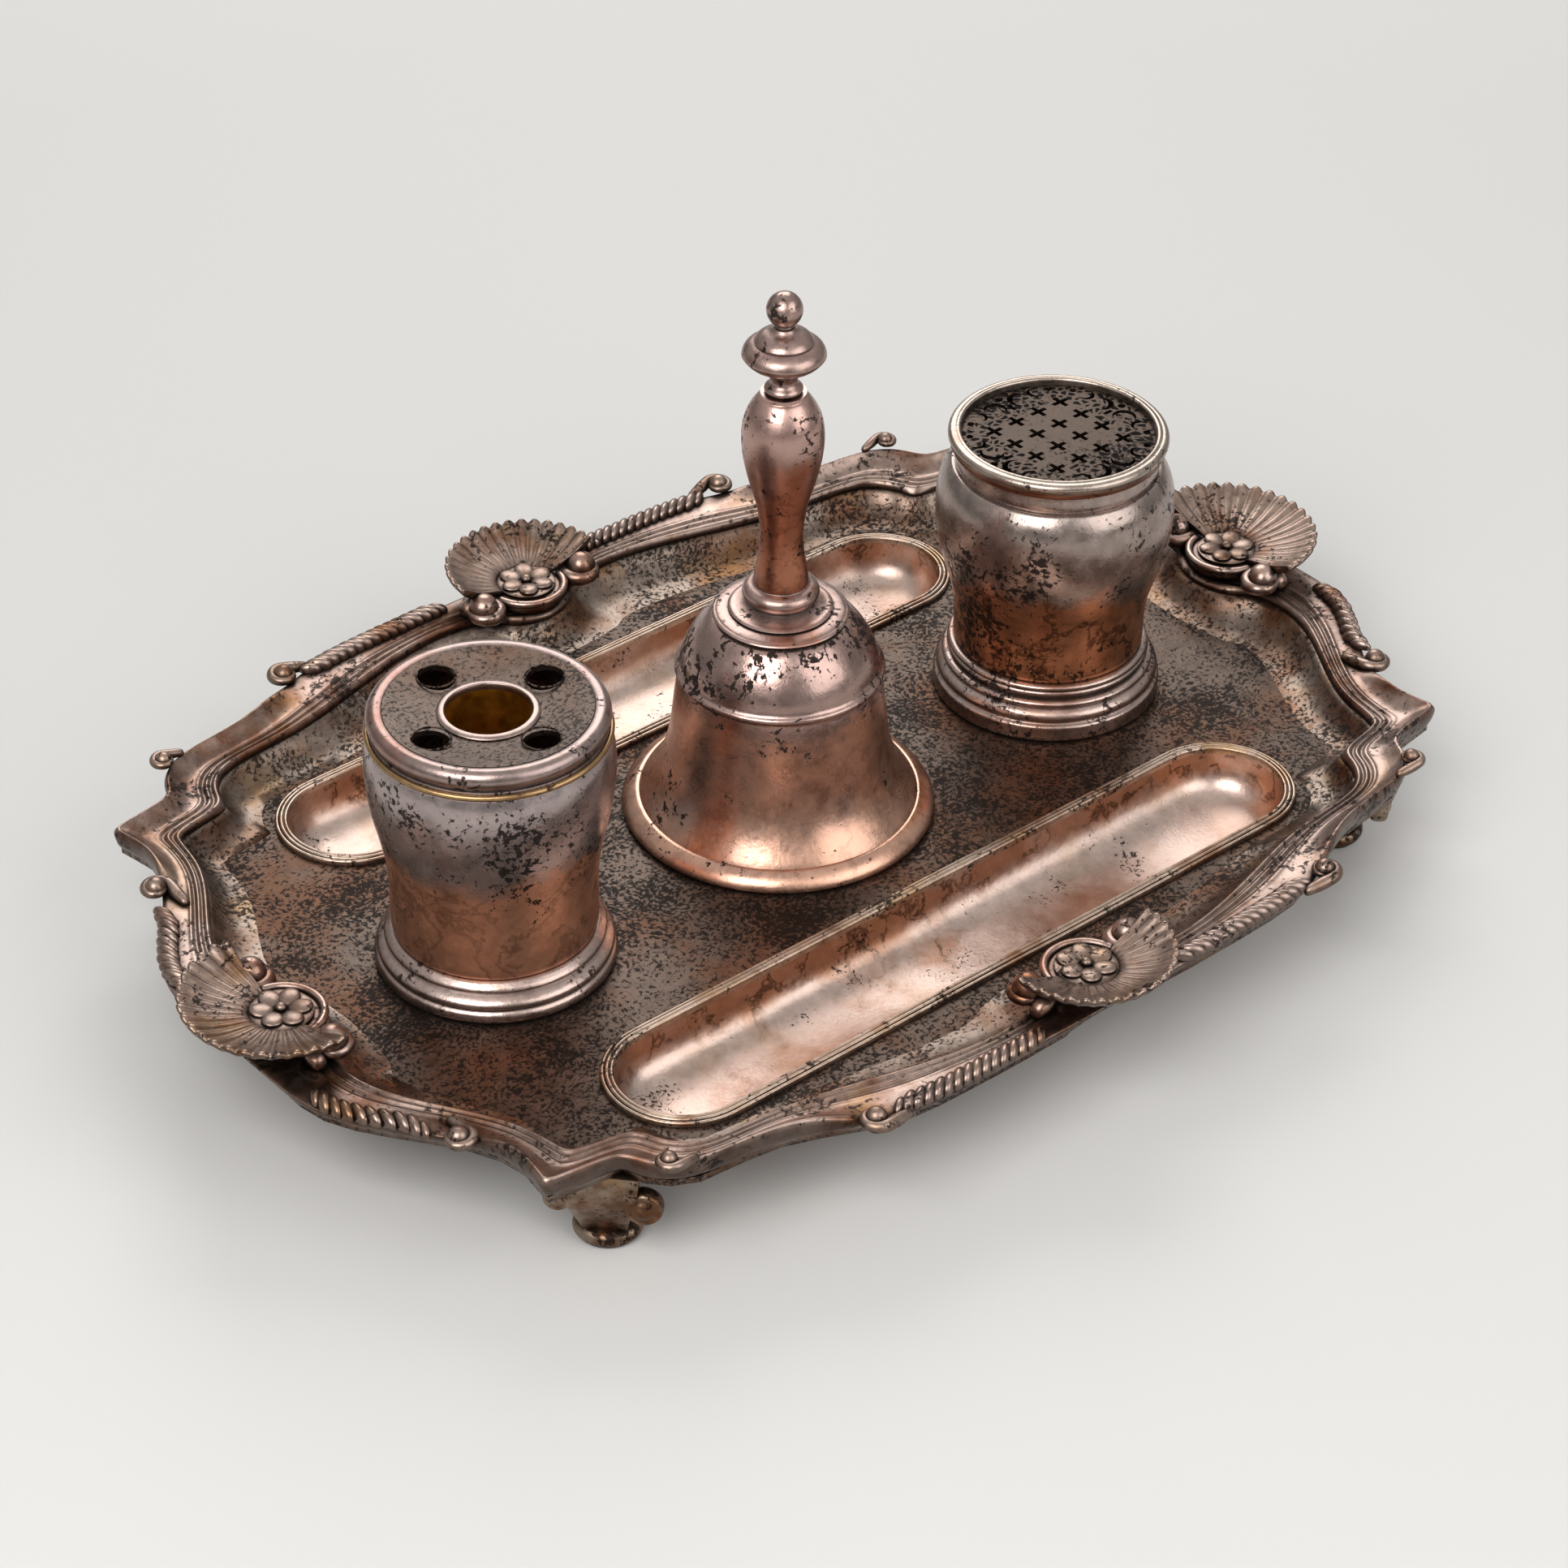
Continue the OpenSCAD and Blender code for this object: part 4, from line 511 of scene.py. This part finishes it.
bellSet = {
    "x": -1.0, "y": 2.5, "crownUp": 50.2, "handleUp": 58.2, "knopUp": 104.7, "finialUp": 119.9,
    "shell": [(33.6, 0), (34.45, 0.5), (34.6, 1.3), (33.9, 2.6), (32.5, 3.7), (31.2, 4.3), (30.7, 4.2), (30.4, 4.8),
              (28.05, 8.0), (25.7, 12.05), (24.07, 18.1), (23.13, 27.1), (22.3, 34.1), (22, 35.5)]
             + ringArc((22.05, 36.65), 0.8, -65, 65, 5) + [(21.75, 37.8), (21.4, 39.7), (20.5, 42.2), (18.5, 45.7),
              (15.9, 48.7), (14.3, 50.2), (2.05, 50.2), (2.05, 48.7), (13.1, 48.7), (14.4, 47.8), (17, 44.8), (19, 41.3),
              (19.9, 38.8), (20.5, 35.6), (20.8, 34.1), (21.6, 27.1), (22.6, 18.1), (24.2, 12.05), (26.5, 8), (29.1, 4.7),
              (31.4, 2.2), (32.4, 0)],
    "crown": [(2.05, 0), (14.6, 0), (14.8, 0.35), (14.5, 0.7), (13.9, 0.8), (13.8, 0.95), (12.7, 1.2), (11.6, 1.36),
              (11.1, 1.4), (11.35, 1.8), (10.8, 2.15), (10.0, 2.25), (9.6, 2.35), (8.3, 2.72), (7.3, 3.2), (6.8, 3.7)]
             + ringArc((6.4, 5.6), 1.95, -62, 72, 6) + [(6.3, 7.6), (5.9, 7.8), (5.9, 8), (2.05, 8)],
    "handle": [(2.05, 0), (5.9, 0), (5.8, 1.9), (5.4, 4.2), (4.8, 7.4), (4.5, 11.6), (4.95, 16.7), (5.82, 20.9), (7.23, 25.3),
               (8.46, 30.7), (8.9, 35.8), (8.5, 39.8), (7.2, 43), (5.5, 45.3), (4.9, 45.6), (4.9, 46.5), (2.05, 46.5)],
    "knop": [(0, 0), (3.7, 0), (4.2, 0.6), (4.1, 1.2), (3.4, 1.8), (2.9, 2.4), (2.9, 3.3), (3.6, 4.6), (5.3, 5.85), (7.7, 7.1),
             (8.9, 8.8), (8.5, 10.3), (7.3, 11.3), (6.2, 11.7), (6.3, 12.0), (5.7, 12.9), (4.45, 13.8), (2.7, 14.3),
             (2.2, 15.2), (0, 15.2)],
    "finial": [(0, 0), (1.9, 0), (1.7, 0.5)] + ringArc((0, 3.98), 3.9, -58, 90, 10)}


def bellAt(up):
    return (bellSet["x"], bellSet["y"], floorZ + up)


handOver(turnPiece("bellShellTurned", bellAt(0), bellSet["shell"]), "bell", "bell", "bell_shell")
handOver(turnPiece("bellCrownTurned", bellAt(bellSet["crownUp"]), bellSet["crown"]), "bell", "crown", "bell_crown")
handOver(turnPiece("bellHandleTurned", bellAt(bellSet["handleUp"]), bellSet["handle"]), "bell", "handle", "bell_handle")
handOver(turnPiece("bellKnopTurned", bellAt(bellSet["knopUp"]), bellSet["knop"]), "bell", "crown", "bell_knop")
handOver(turnPiece("bellFinialTurned", bellAt(bellSet["finialUp"]), bellSet["finial"], 32), "bell", "crown", "bell_finial")
print("bell ready")


# pen troughs: half a ring is spun, its cut edge drawn out to the middle, and mirrored

trough = {"y": 56.7, "half": 76.9, "turns": 28, "draws": 8, "sharp": 55, "crease": 0.5, "rimFrom": 0.05,
          "section": [(0, -11.2), (7.05, -10.9), (11.84, -9.2), (15.2, -5), (15.2, 0), (17.1, 0)]
                     + ringArc((16.55, 0.82), 0.47, 0, 165, 4) + ringArc((15.6, 1.03), 0.47, 15, 165, 4)
                     + ringArc((14.66, 1.03), 0.47, 15, 150, 4)
                     + [(14.05, 0.2), (13.75, -1.4), (13.45, -3.4), (12.7, -5.9), (10.6, -8.3), (5.9, -9.7), (0, -10)]}


def makeTrough(name, y):
    section = trough["section"]
    piece = startPoint(name, (trough["half"], y - section[0][0], floorZ + section[0][1]))
    drawProfile(section, 0, -1)
    bpy.ops.mesh.select_all(action="SELECT")
    bpy.ops.mesh.spin(steps=trough["turns"], angle=-math.pi, center=inMetres((trough["half"], y, floorZ)), axis=(0, 0, 1))
    mergeAll()
    bpy.ops.object.mode_set(mode="OBJECT")
    for v in piece.data.vertices:
        v.select = abs(v.co.x - trough["half"] * mm) < 1e-5
    for f in piece.data.polygons:
        f.select = False
    for e in piece.data.edges:
        e.select = all(piece.data.vertices[i].select for i in e.vertices)
    bpy.ops.object.mode_set(mode="EDIT")
    bpy.ops.mesh.select_mode(type="EDGE")
    for _ in range(trough["draws"]):
        bpy.ops.mesh.extrude_edges_move(TRANSFORM_OT_translate={"value": (-trough["half"] / trough["draws"] * mm, 0, 0)})
    bpy.ops.object.mode_set(mode="OBJECT")
    mirror = piece.modifiers.new("bothEnds", "MIRROR")
    mirror.merge_threshold = 1e-5
    bpy.ops.object.modifier_apply(modifier=mirror.name)
    bpy.ops.object.mode_set(mode="EDIT")
    mergeAll()
    bpy.ops.mesh.normals_make_consistent(inside=False)
    creaseSharp(trough["sharp"], trough["crease"])
    applySubdivision(piece, 1)
    shadeSmooth(piece)
    return piece


for side, y in (("Front", -trough["y"]), ("Back", trough["y"])):
    piece = handOver(makeTrough("penTrough" + side, y), "tray", "trough", "pen_trough_" + side.lower())
    piece.data.materials.append(finish["reed"])
    for face in piece.data.polygons:          # the reeded rim stands above the floor
        face.material_index = int(face.center.z > (floorZ + trough["rimFrom"]) * mm)
print("troughs ready")


# border and wall: softened copies of the solids, merged and back to quads
# the wall isn't subdivided, so that it still meets the floor along its line

softened = {"border_moulding": {"finish": "border", "levels": 2, "sharp": 60, "crease": 0.35},
            "tray_wall": {"finish": "wall", "levels": 0, "sharp": 50, "crease": 0.5}}


def castCopy(node, levels, sharp, crease):
    startClean()
    piece = nodes[node].copy()
    piece.data = nodes[node].data.copy()
    for key in list(piece.keys()):            # the copy isn't a solid, so it drops the solid's tags
        del piece[key]
    piece.parent = None
    piece.name = piece.data.name = node + "Cast"
    bpy.context.scene.collection.objects.link(piece)
    useOnly(piece)
    editAll()
    mergeAll(2e-6)
    bpy.ops.mesh.tris_convert_to_quads(face_threshold=math.radians(60), shape_threshold=math.radians(75))
    creaseSharp(sharp, crease)
    if levels:
        applySubdivision(piece, levels)
    shadeSmooth(piece)
    return piece


for node, how in softened.items():
    handOver(castCopy(node, how["levels"], how["sharp"], how["crease"]), "tray", how["finish"], node)
print("border ready")


# rosettes: overlapping flat petals round a bead, on a low ground

rose = {"y": 93.5, "x": 135.4, "seat": 30.0, "ground": [(0, 0), (6.8, 0), (6.8, 0.7), (6.4, 1.0), (0, 1.0)],
        "petals": 6, "petalOut": 3.8, "petalR": 2.75, "petalShape": (1.0, 0.86, 0.32), "petalUp": 1.05, "petalTilt": -7,
        "bead": 1.25, "beadShape": (1, 1, 0.85), "beadUp": 1.4, "cut": -0.3}


def makePetal(r, shape, out, up, tilt, turn):
    startClean()
    bpy.ops.mesh.primitive_uv_sphere_add(segments=20, ring_count=12, radius=r * mm)
    petal = bpy.context.object
    editAll()
    bpy.ops.transform.resize(value=shape, center_override=(0, 0, 0))
    bpy.ops.mesh.bisect(plane_co=(0, 0, rose["cut"] * mm), plane_no=(0, 0, 1), clear_inner=True, use_fill=True)
    bpy.ops.object.mode_set(mode="OBJECT")
    petal.rotation_euler = (0, math.radians(tilt), turn)
    petal.location = inMetres((out * math.cos(turn), out * math.sin(turn), rose["seat"] + up))
    applyPlace()
    return petal


def makeRosette():
    parts = [turnPiece("rosetteMaster", (0, 0, rose["seat"]), rose["ground"], steps=32, levels=1)]
    for i in range(rose["petals"]):
        parts.append(makePetal(rose["petalR"], rose["petalShape"], rose["petalOut"], rose["petalUp"], rose["petalTilt"],
                               math.tau * i / rose["petals"]))
    parts.append(makePetal(rose["bead"], rose["beadShape"], 0, rose["beadUp"], 0, math.tau))
    return joinUp(parts, "rosetteMaster", 45)


fourSides = (("front", (0, -rose["y"], 0), 180), ("back", (0, rose["y"], 0), 0),
             ("left", (-rose["x"], 0, 0), 90), ("right", (rose["x"], 0, 0), -90))
rosette = makeRosette()
for side, place, turn in fourSides:
    handOver(placeCopy(rosette, "rosette" + side.title(), place, turn), "tray", "rosette", "rosette_" + side)
bpy.data.objects.remove(rosette)
print("rosettes ready")


# fan shells: one closed section, turned step by step and drawn in at every groove
# each point of the section is its share of the way out and its height, over the top to the lip and back underneath

fan = {"seat": 8.6, "flutes": 19, "from": -4, "to": 184, "side": 18.5, "end": 20.7, "groove": (1, 0.8, 0, 0.8),
       "grooveOut": 0.968, "grooveUp": 0.8, "foot": 29.6,
       "section": [(-0.2, 30.6), (-0.1, 31.6), (0.04, 32.1), (0.34, 33.0), (0.64, 34.3), (0.86, 35.8), (0.95, 36.4),
                   (1.0, 36.45), (1.035, 36.1), (1.03, 35.3), (0.97, 34.6), (0.84, 33.2), (0.6, 31.8), (0.3, 31.0),
                   (0.0, 30.6), (-0.2, 30.2)]}


def grooveSize(step):
    rise = fan["groove"][step % len(fan["groove"])]
    return [1 - (1 - fan[k]) * (1 - rise) for k in ("grooveOut", "grooveUp")]


def makeFan(reach):
    spots = [(fan["seat"] + (reach - fan["seat"]) * share, z) for share, z in fan["section"]]
    piece = startPoint("fanMaster", (spots[0][0], 0, spots[0][1]))
    drawProfile(spots + spots[:1])
    mergeAll(1e-6)
    bpy.ops.mesh.select_all(action="SELECT")
    bpy.ops.mesh.edge_face_add()
    bpy.ops.mesh.select_mode(type="FACE")
    bpy.ops.mesh.select_all(action="SELECT")
    sweepOn(fan["from"], extrude=False)
    steps = fan["flutes"] * len(fan["groove"])
    for i in range(steps):
        sweepOn((fan["to"] - fan["from"]) / steps)
        out, up = (now / was for now, was in zip(grooveSize(i + 1), grooveSize(i)))
        bpy.ops.transform.resize(value=(out, out, up), center_override=(0, 0, fan["foot"] * mm))
    faceOut()
    applySubdivision(piece, 1)
    shadeSmooth(piece)
    return piece


for side, place, turn in fourSides:
    master = makeFan(fan["side" if side in ("front", "back") else "end"])
    handOver(placeCopy(master, "shell" + side.title(), place, turn), "tray", "shell", "shell_" + side)
    bpy.data.objects.remove(master)
print("shells ready")


# leaf scrolls: a stem drawn out ring by ring, wound up round a ball
# swell: growth of the stem at each draw; turn and out: which way a scroll leans from its corner, and how far out it sits

scroll = {"tube": 1.55, "sides": 8, "start": 3.1, "drop": 1.4, "rise": 0.35, "stem": (2.2, 2.0, 1.8, 1.4),
          "swell": (1.18, 1.18, 0.98, 0.98), "wind": 24, "shrink": 0.958, "turns": 15, "ball": 2.3, "ballUp": 0.4,
          "under": 2.6, "lean": 38,
          "curl": {"turn": 42, "out": 0.2, "size": 0.8}, "onEnd": {"turn": 37, "out": 0.3, "size": 1.0},
          "onSide": {"turn": 40, "out": 0.3, "size": 1.0}}


def makeScroll(name, stem):
    startClean()
    bpy.ops.mesh.primitive_circle_add(vertices=scroll["sides"], radius=scroll["tube"] * 0.75 * mm, fill_type="NGON",
                                      location=inMetres((-scroll["start"], -sum(stem), -scroll["drop"])),
                                      rotation=(math.radians(90), 0, 0))
    piece = bpy.context.object
    piece.name = piece.data.name = name
    applyPlace()
    editAll("FACE")
    for step, swell in zip(stem, scroll["swell"]):
        bpy.ops.mesh.extrude_region_move(TRANSFORM_OT_translate={"value": inMetres((0, step, scroll["rise"]))})
        bpy.ops.transform.resize(value=[swell] * 3)
    for _ in range(scroll["turns"]):              # the volute
        sweepOn(-scroll["wind"])
        bpy.ops.transform.resize(value=[scroll["shrink"]] * 3, center_override=(0, 0, 0))
    faceOut()
    bpy.ops.object.mode_set(mode="OBJECT")
    applySubdivision(piece, 1)
    startClean()
    bpy.ops.mesh.primitive_uv_sphere_add(segments=20, ring_count=12, radius=scroll["ball"] * mm,
                                         location=(0, 0, scroll["ballUp"] * mm))
    applyPlace()
    return joinUp([piece, bpy.context.object], name)


scrollMaster = makeScroll("scrollMaster", scroll["stem"])
for node in [n for n in nodes if n.startswith(("scroll_", "curl_"))]:
    low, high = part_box(node)
    x, y = ((low[i] + high[i]) / 2 / mm for i in (0, 1))
    onEnd = node.startswith(("scroll_right", "scroll_left"))
    kind = scroll["curl" if node.startswith("curl_") else "onEnd" if onEnd else "onSide"]
    away = math.radians(90 - kind["turn"])
    place = (x + math.copysign(kind["out"] * math.cos(away), x), y + math.copysign(kind["out"] * math.sin(away), y),
             high[2] / mm - scroll["under"] * kind["size"])
    turn = math.degrees(away) - 90 + (scroll["lean"] if onEnd else -scroll["lean"])
    piece = placeCopy(scrollMaster, titleOf(node), place, turn, flipX=x < 0, flipY=y < 0, size=kind["size"])
    handOver(piece, "tray", "shell", node)
print("scrolls ready")


# seats: a low drum under each rosette, a rolled rim on the tray side, and a large volute at either hand

seat = {"drum": [(0, 27), (8.2, 27), (8.6, 27.3), (8.6, 29.6), (8.2, 30), (0, 30)], "rim": 8.75, "rimTube": 1.0, "rimZ": 29.9,
        "from": 186, "to": 354, "steps": 28, "gap": 14.2, "back": -2.4, "volute": 1.5, "voluteZ": 29.9, "stem": (1.0, 1.0)}


def makeSeat(volute):
    drum = turnPiece("seatMaster", (0, 0, 0), seat["drum"], steps=32, levels=1)
    startClean()
    bpy.ops.mesh.primitive_circle_add(vertices=10, radius=seat["rimTube"] * mm, fill_type="NGON",
                                      location=inMetres((seat["rim"], 0, seat["rimZ"])), rotation=(math.radians(90), 0, 0))
    rim = bpy.context.object
    applyPlace()
    editAll("FACE")
    sweepOn(seat["from"], extrude=False)
    for _ in range(seat["steps"]):
        sweepOn((seat["to"] - seat["from"]) / seat["steps"])
    faceOut()
    applySubdivision(rim, 1)
    volutes = [placeCopy(volute, "seatVolute", (hand * seat["gap"], seat["back"], seat["voluteZ"]), 90,
                         flipX=hand < 0, flipY=True, size=seat["volute"]) for hand in (1, -1)]
    return joinUp([drum, rim] + volutes, "seatMaster")


voluteMaster = makeScroll("voluteMaster", seat["stem"])
seatMaster = makeSeat(voluteMaster)
for side, place, turn in fourSides:
    handOver(placeCopy(seatMaster, "seat" + side.title(), place, turn), "tray", "lip", "seat_" + side)
for master in (seatMaster, voluteMaster, scrollMaster):
    bpy.data.objects.remove(master)
print("seats ready")


# gadroons: slanting lobes set side by side along each run of the edge

gadroon = {"pitch": 2.6, "long": 6.6, "wide": 2.75, "high": 2.1, "cut": -0.4, "lift": 27.4, "slant": 50, "close": 1.06,
           "lastSize": 0.8, "reach": 1.6}


def makeGadroon():
    startClean()
    bpy.ops.mesh.primitive_uv_sphere_add(segments=16, ring_count=10, radius=0.5 * mm)
    lobe = bpy.context.object
    lobe.name = lobe.data.name = "gadroonMaster"
    editAll()
    bpy.ops.transform.resize(value=(gadroon["wide"], gadroon["long"], 2 * gadroon["high"]), center_override=(0, 0, 0))
    bpy.ops.mesh.bisect(plane_co=(0, 0, gadroon["cut"] * mm), plane_no=(0, 0, 1), clear_inner=True, use_fill=True)
    bpy.ops.object.mode_set(mode="OBJECT")
    shadeSmooth(lobe)
    return lobe


# middle line of a run, from the solid's own points
def runLine(node):
    spots = [v.co / mm for v in nodes[node].data.vertices]
    axis = 0 if node.startswith(("gadroons_front", "gadroons_back")) else 1
    spots.sort(key=lambda p: abs(p[axis]))
    low, high = abs(spots[0][axis]), abs(spots[-1][axis])
    count = round((high - low) * gadroon["close"] / gadroon["pitch"])
    line = []
    for i in range(count):
        at = low + (high - low) * (i + 0.5) / count
        near = [p for p in spots if abs(abs(p[axis]) - at) < gadroon["reach"] * gadroon["pitch"]]
        middle = sum(near, Vector()) / len(near)
        middle[axis] = math.copysign(at, middle[axis])
        line.append(middle)
    return line


lobeMaster = makeGadroon()
for node in [n for n in nodes if n.startswith("gadroons_")]:
    line = runLine(node)
    lobes = []
    for i, spot in enumerate(line):
        ahead = line[min(i + 1, len(line) - 1)] - line[max(i - 1, 0)]
        hand = 1 if ahead.x * spot.y - ahead.y * spot.x < 0 else -1      # which side of the run faces outwards
        turn = math.degrees(math.atan2(hand * ahead.x, -hand * ahead.y)) - 90 + hand * gadroon["slant"]
        size = gadroon["lastSize"] if i in (0, len(line) - 1) else 1
        lobes.append(placeCopy(lobeMaster, "lobe", (spot.x, spot.y, gadroon["lift"]), turn, size=size))
    handOver(joinUp(lobes, titleOf(node)), "tray", "gadroon", node)
bpy.data.objects.remove(lobeMaster)
print("gadroons ready")


# feet: a hollow-sided bracket that leans out, a volute at each hand and a bun toe
# each row of the stem is its inner face, outer face, half its width and its height

foot = {"x": 104.0, "y": 66.0, "turn": 42,
        "stem": [(1.0, 5.4, 4.6, 3.4), (2.4, 6.2, 4.9, 5.2), (4.2, 7.8, 5.4, 8.0), (6.3, 9.8, 6.2, 11.6),
                 (7.9, 11.4, 7.0, 15.2), (8.8, 12.2, 7.8, 18.8), (9.2, 12.2, 8.2, 23.1)],
        "toe": [(0, 0), (5.9, 0)] + ringArc((5.0, 1.9), 1.9, -65, 88, 7) + [(3.9, 4.3), (0, 4.5)],
        "toeOut": 1.1, "toeWide": 1.06, "sharp": 60, "crease": 0.75,
        "volute": [(0, 0), (3.7, 0), (4.1, 0.8), (4.1, 2.6), (3.7, 3.4), (3.1, 3.6), (2.7, 3.4), (2.4, 3.5), (1.7, 4.1),
                   (0.9, 4.4), (0, 4.5)],
        "voluteOut": 8.0, "voluteSide": 8.7, "voluteUp": 14.6, "longSide": 1.0, "endSide": 0.72}


def makeFoot():
    startClean()
    inner, outer, half, z = foot["stem"][0]
    bpy.ops.mesh.primitive_plane_add(size=mm, location=inMetres(((inner + outer) / 2, 0, z)))
    stem = bpy.context.object
    stem.name = stem.data.name = "footMaster"
    stem.scale = (outer - inner, 2 * half, 1)
    applyPlace()
    editAll("FACE")
    bpy.ops.mesh.subdivide(number_cuts=3)
    bpy.ops.mesh.select_all(action="SELECT")
    for a, b in zip(foot["stem"], foot["stem"][1:]):
        shift = (b[0] + b[1] - a[0] - a[1]) / 2
        bpy.ops.mesh.extrude_region_move(TRANSFORM_OT_translate={"value": inMetres((shift, 0, b[3] - a[3]))})
        bpy.ops.transform.resize(value=((b[1] - b[0]) / (a[1] - a[0]), b[2] / a[2], 1),
                                 center_override=inMetres(((b[0] + b[1]) / 2, 0, b[3])))
    faceOut()
    creaseSharp(foot["sharp"], foot["crease"])
    applySubdivision(stem, 1)
    toe = turnPiece("footToe", (0, 0, 0), foot["toe"], steps=32, levels=1)
    toe.data.transform(Matrix.Translation((foot["toeOut"] * mm, 0, 0)) @ Matrix.Diagonal((1, foot["toeWide"], 1, 1)))
    parts = [stem, toe]
    for hand, size in ((1, foot["longSide"]), (-1, foot["endSide"])):
        volute = turnPiece("footVolute", (0, 0, 0), foot["volute"], steps=24, levels=1)
        place = Matrix.Translation(inMetres((foot["voluteOut"], hand * foot["voluteSide"], foot["voluteUp"])))
        volute.data.transform(place @ Matrix.Rotation(math.radians(90), 4, "Y") @ Matrix.Scale(size, 4))
        parts.append(volute)
    return joinUp(parts, "footMaster", 50)


footMaster = makeFoot()
for node in [n for n in nodes if n.startswith("foot_")]:
    left, front = "left" in node, "front" in node
    place = (-foot["x"] if left else foot["x"], -foot["y"] if front else foot["y"], 0)
    handOver(placeCopy(footMaster, titleOf(node), place, foot["turn"], flipX=left, flipY=front), "tray", "foot", node)
bpy.data.objects.remove(footMaster)
print("feet ready")


# studio: pale floor, pale room, three soft lamps

studio = {"floor": "#d0cecb", "floorSize": 14, "floorZ": -0.0002, "matt": 0.9,
          "room": (0.8, 0.8, 0.8, 1), "clearFrom": 0.42, "clearTo": 1.2,      # where the floor runs out into the room
          "roomSeen": 1.06, "roomFill": 0.45,                                 # what the camera sees, and what lights the set
          "roomSide": 0.34, "roomTop": 0.95, "sideZ": 0.1, "topZ": 0.9,       # what the metal mirrors, low down and overhead
          "aim": (0, 0, 0.03),
          "lamps": [{"at": (-0.75, -0.35, 0.85), "size": 0.7, "watts": 10.0},
                    {"at": (0.55, 0.75, 0.8), "size": 0.7, "watts": 6.0},
                    {"at": (0.3, -0.95, 0.65), "size": 0.9, "watts": 6.0}]}


def makeFloor():
    startClean()
    bpy.ops.mesh.primitive_plane_add(size=studio["floorSize"], location=(0, 0, studio["floorZ"]))
    ground = bpy.context.object
    ground.name = "ground"
    applyPlace()
    # painted board, matt and pale, so the set's shadow shows; the camera sees its far parts fade into the room
    mat = bpy.data.materials.new("mattPaintedBoard")
    mat.use_nodes = True
    tree = mat.node_tree
    shader = tree.nodes["Principled BSDF"]
    shader.inputs["Base Color"].default_value = hexToLinear(studio["floor"])
    shader.inputs["Roughness"].default_value = studio["matt"]
    away = addNode(tree, "VectorMath", {0: addNode(tree, "TexCoord", out="Object")}, "Value", operation="LENGTH")
    away = addNode(tree, "MapRange", {"Value": away, "From Min": studio["clearFrom"], "From Max": studio["clearTo"]})
    away = addNode(tree, "Math", {0: away, 1: addNode(tree, "LightPath", out="Is Camera Ray")}, operation="MULTIPLY")
    glow = addNode(tree, "Emission", {"Color": studio["room"], "Strength": studio["roomSeen"]})
    mixed = addNode(tree, "MixShader", {0: away, 1: shader.outputs[0], 2: glow})
    tree.links.new(mixed, tree.nodes["Material Output"].inputs["Surface"])
    ground.data.materials.append(mat)


def makeRoom():
    world = bpy.data.worlds.new("room")
    bpy.context.scene.world = world
    world.use_nodes = True
    tree = world.node_tree
    tree.nodes.remove(tree.nodes["Background"])
    up = addNode(tree, "SeparateXYZ", {0: addNode(tree, "TexCoord", out="Generated")}, "Z")
    level = addNode(tree, "MapRange", {"Value": up, "From Min": studio["sideZ"], "From Max": studio["topZ"],
                                       "To Min": studio["roomSide"], "To Max": studio["roomTop"]})
    fill, mirrored, seen = (addNode(tree, "Background", {"Color": studio["room"], "Strength": strength})
                            for strength in (studio["roomFill"], level, studio["roomSeen"]))
    first = addNode(tree, "MixShader", {0: addNode(tree, "LightPath", out="Is Glossy Ray"), 1: fill, 2: mirrored})
    both = addNode(tree, "MixShader", {0: addNode(tree, "LightPath", out="Is Camera Ray"), 1: first, 2: seen})
    tree.links.new(both, tree.nodes["World Output"].inputs["Surface"])


def makeLamps():
    for i, lamp in enumerate(studio["lamps"]):
        data = bpy.data.lights.new(f"softbox{i}", "AREA")
        data.size = lamp["size"]
        data.energy = lamp["watts"]
        softbox = bpy.data.objects.new(f"softbox{i}", data)
        bpy.context.scene.collection.objects.link(softbox)
        softbox.location = lamp["at"]
        softbox.rotation_euler = (Vector(lamp["at"]) - Vector(studio["aim"])).to_track_quat("Z", "Y").to_euler()


makeFloor()
makeRoom()
makeLamps()
bpy.context.scene.view_settings.view_transform = "Standard"
print("studio ready")
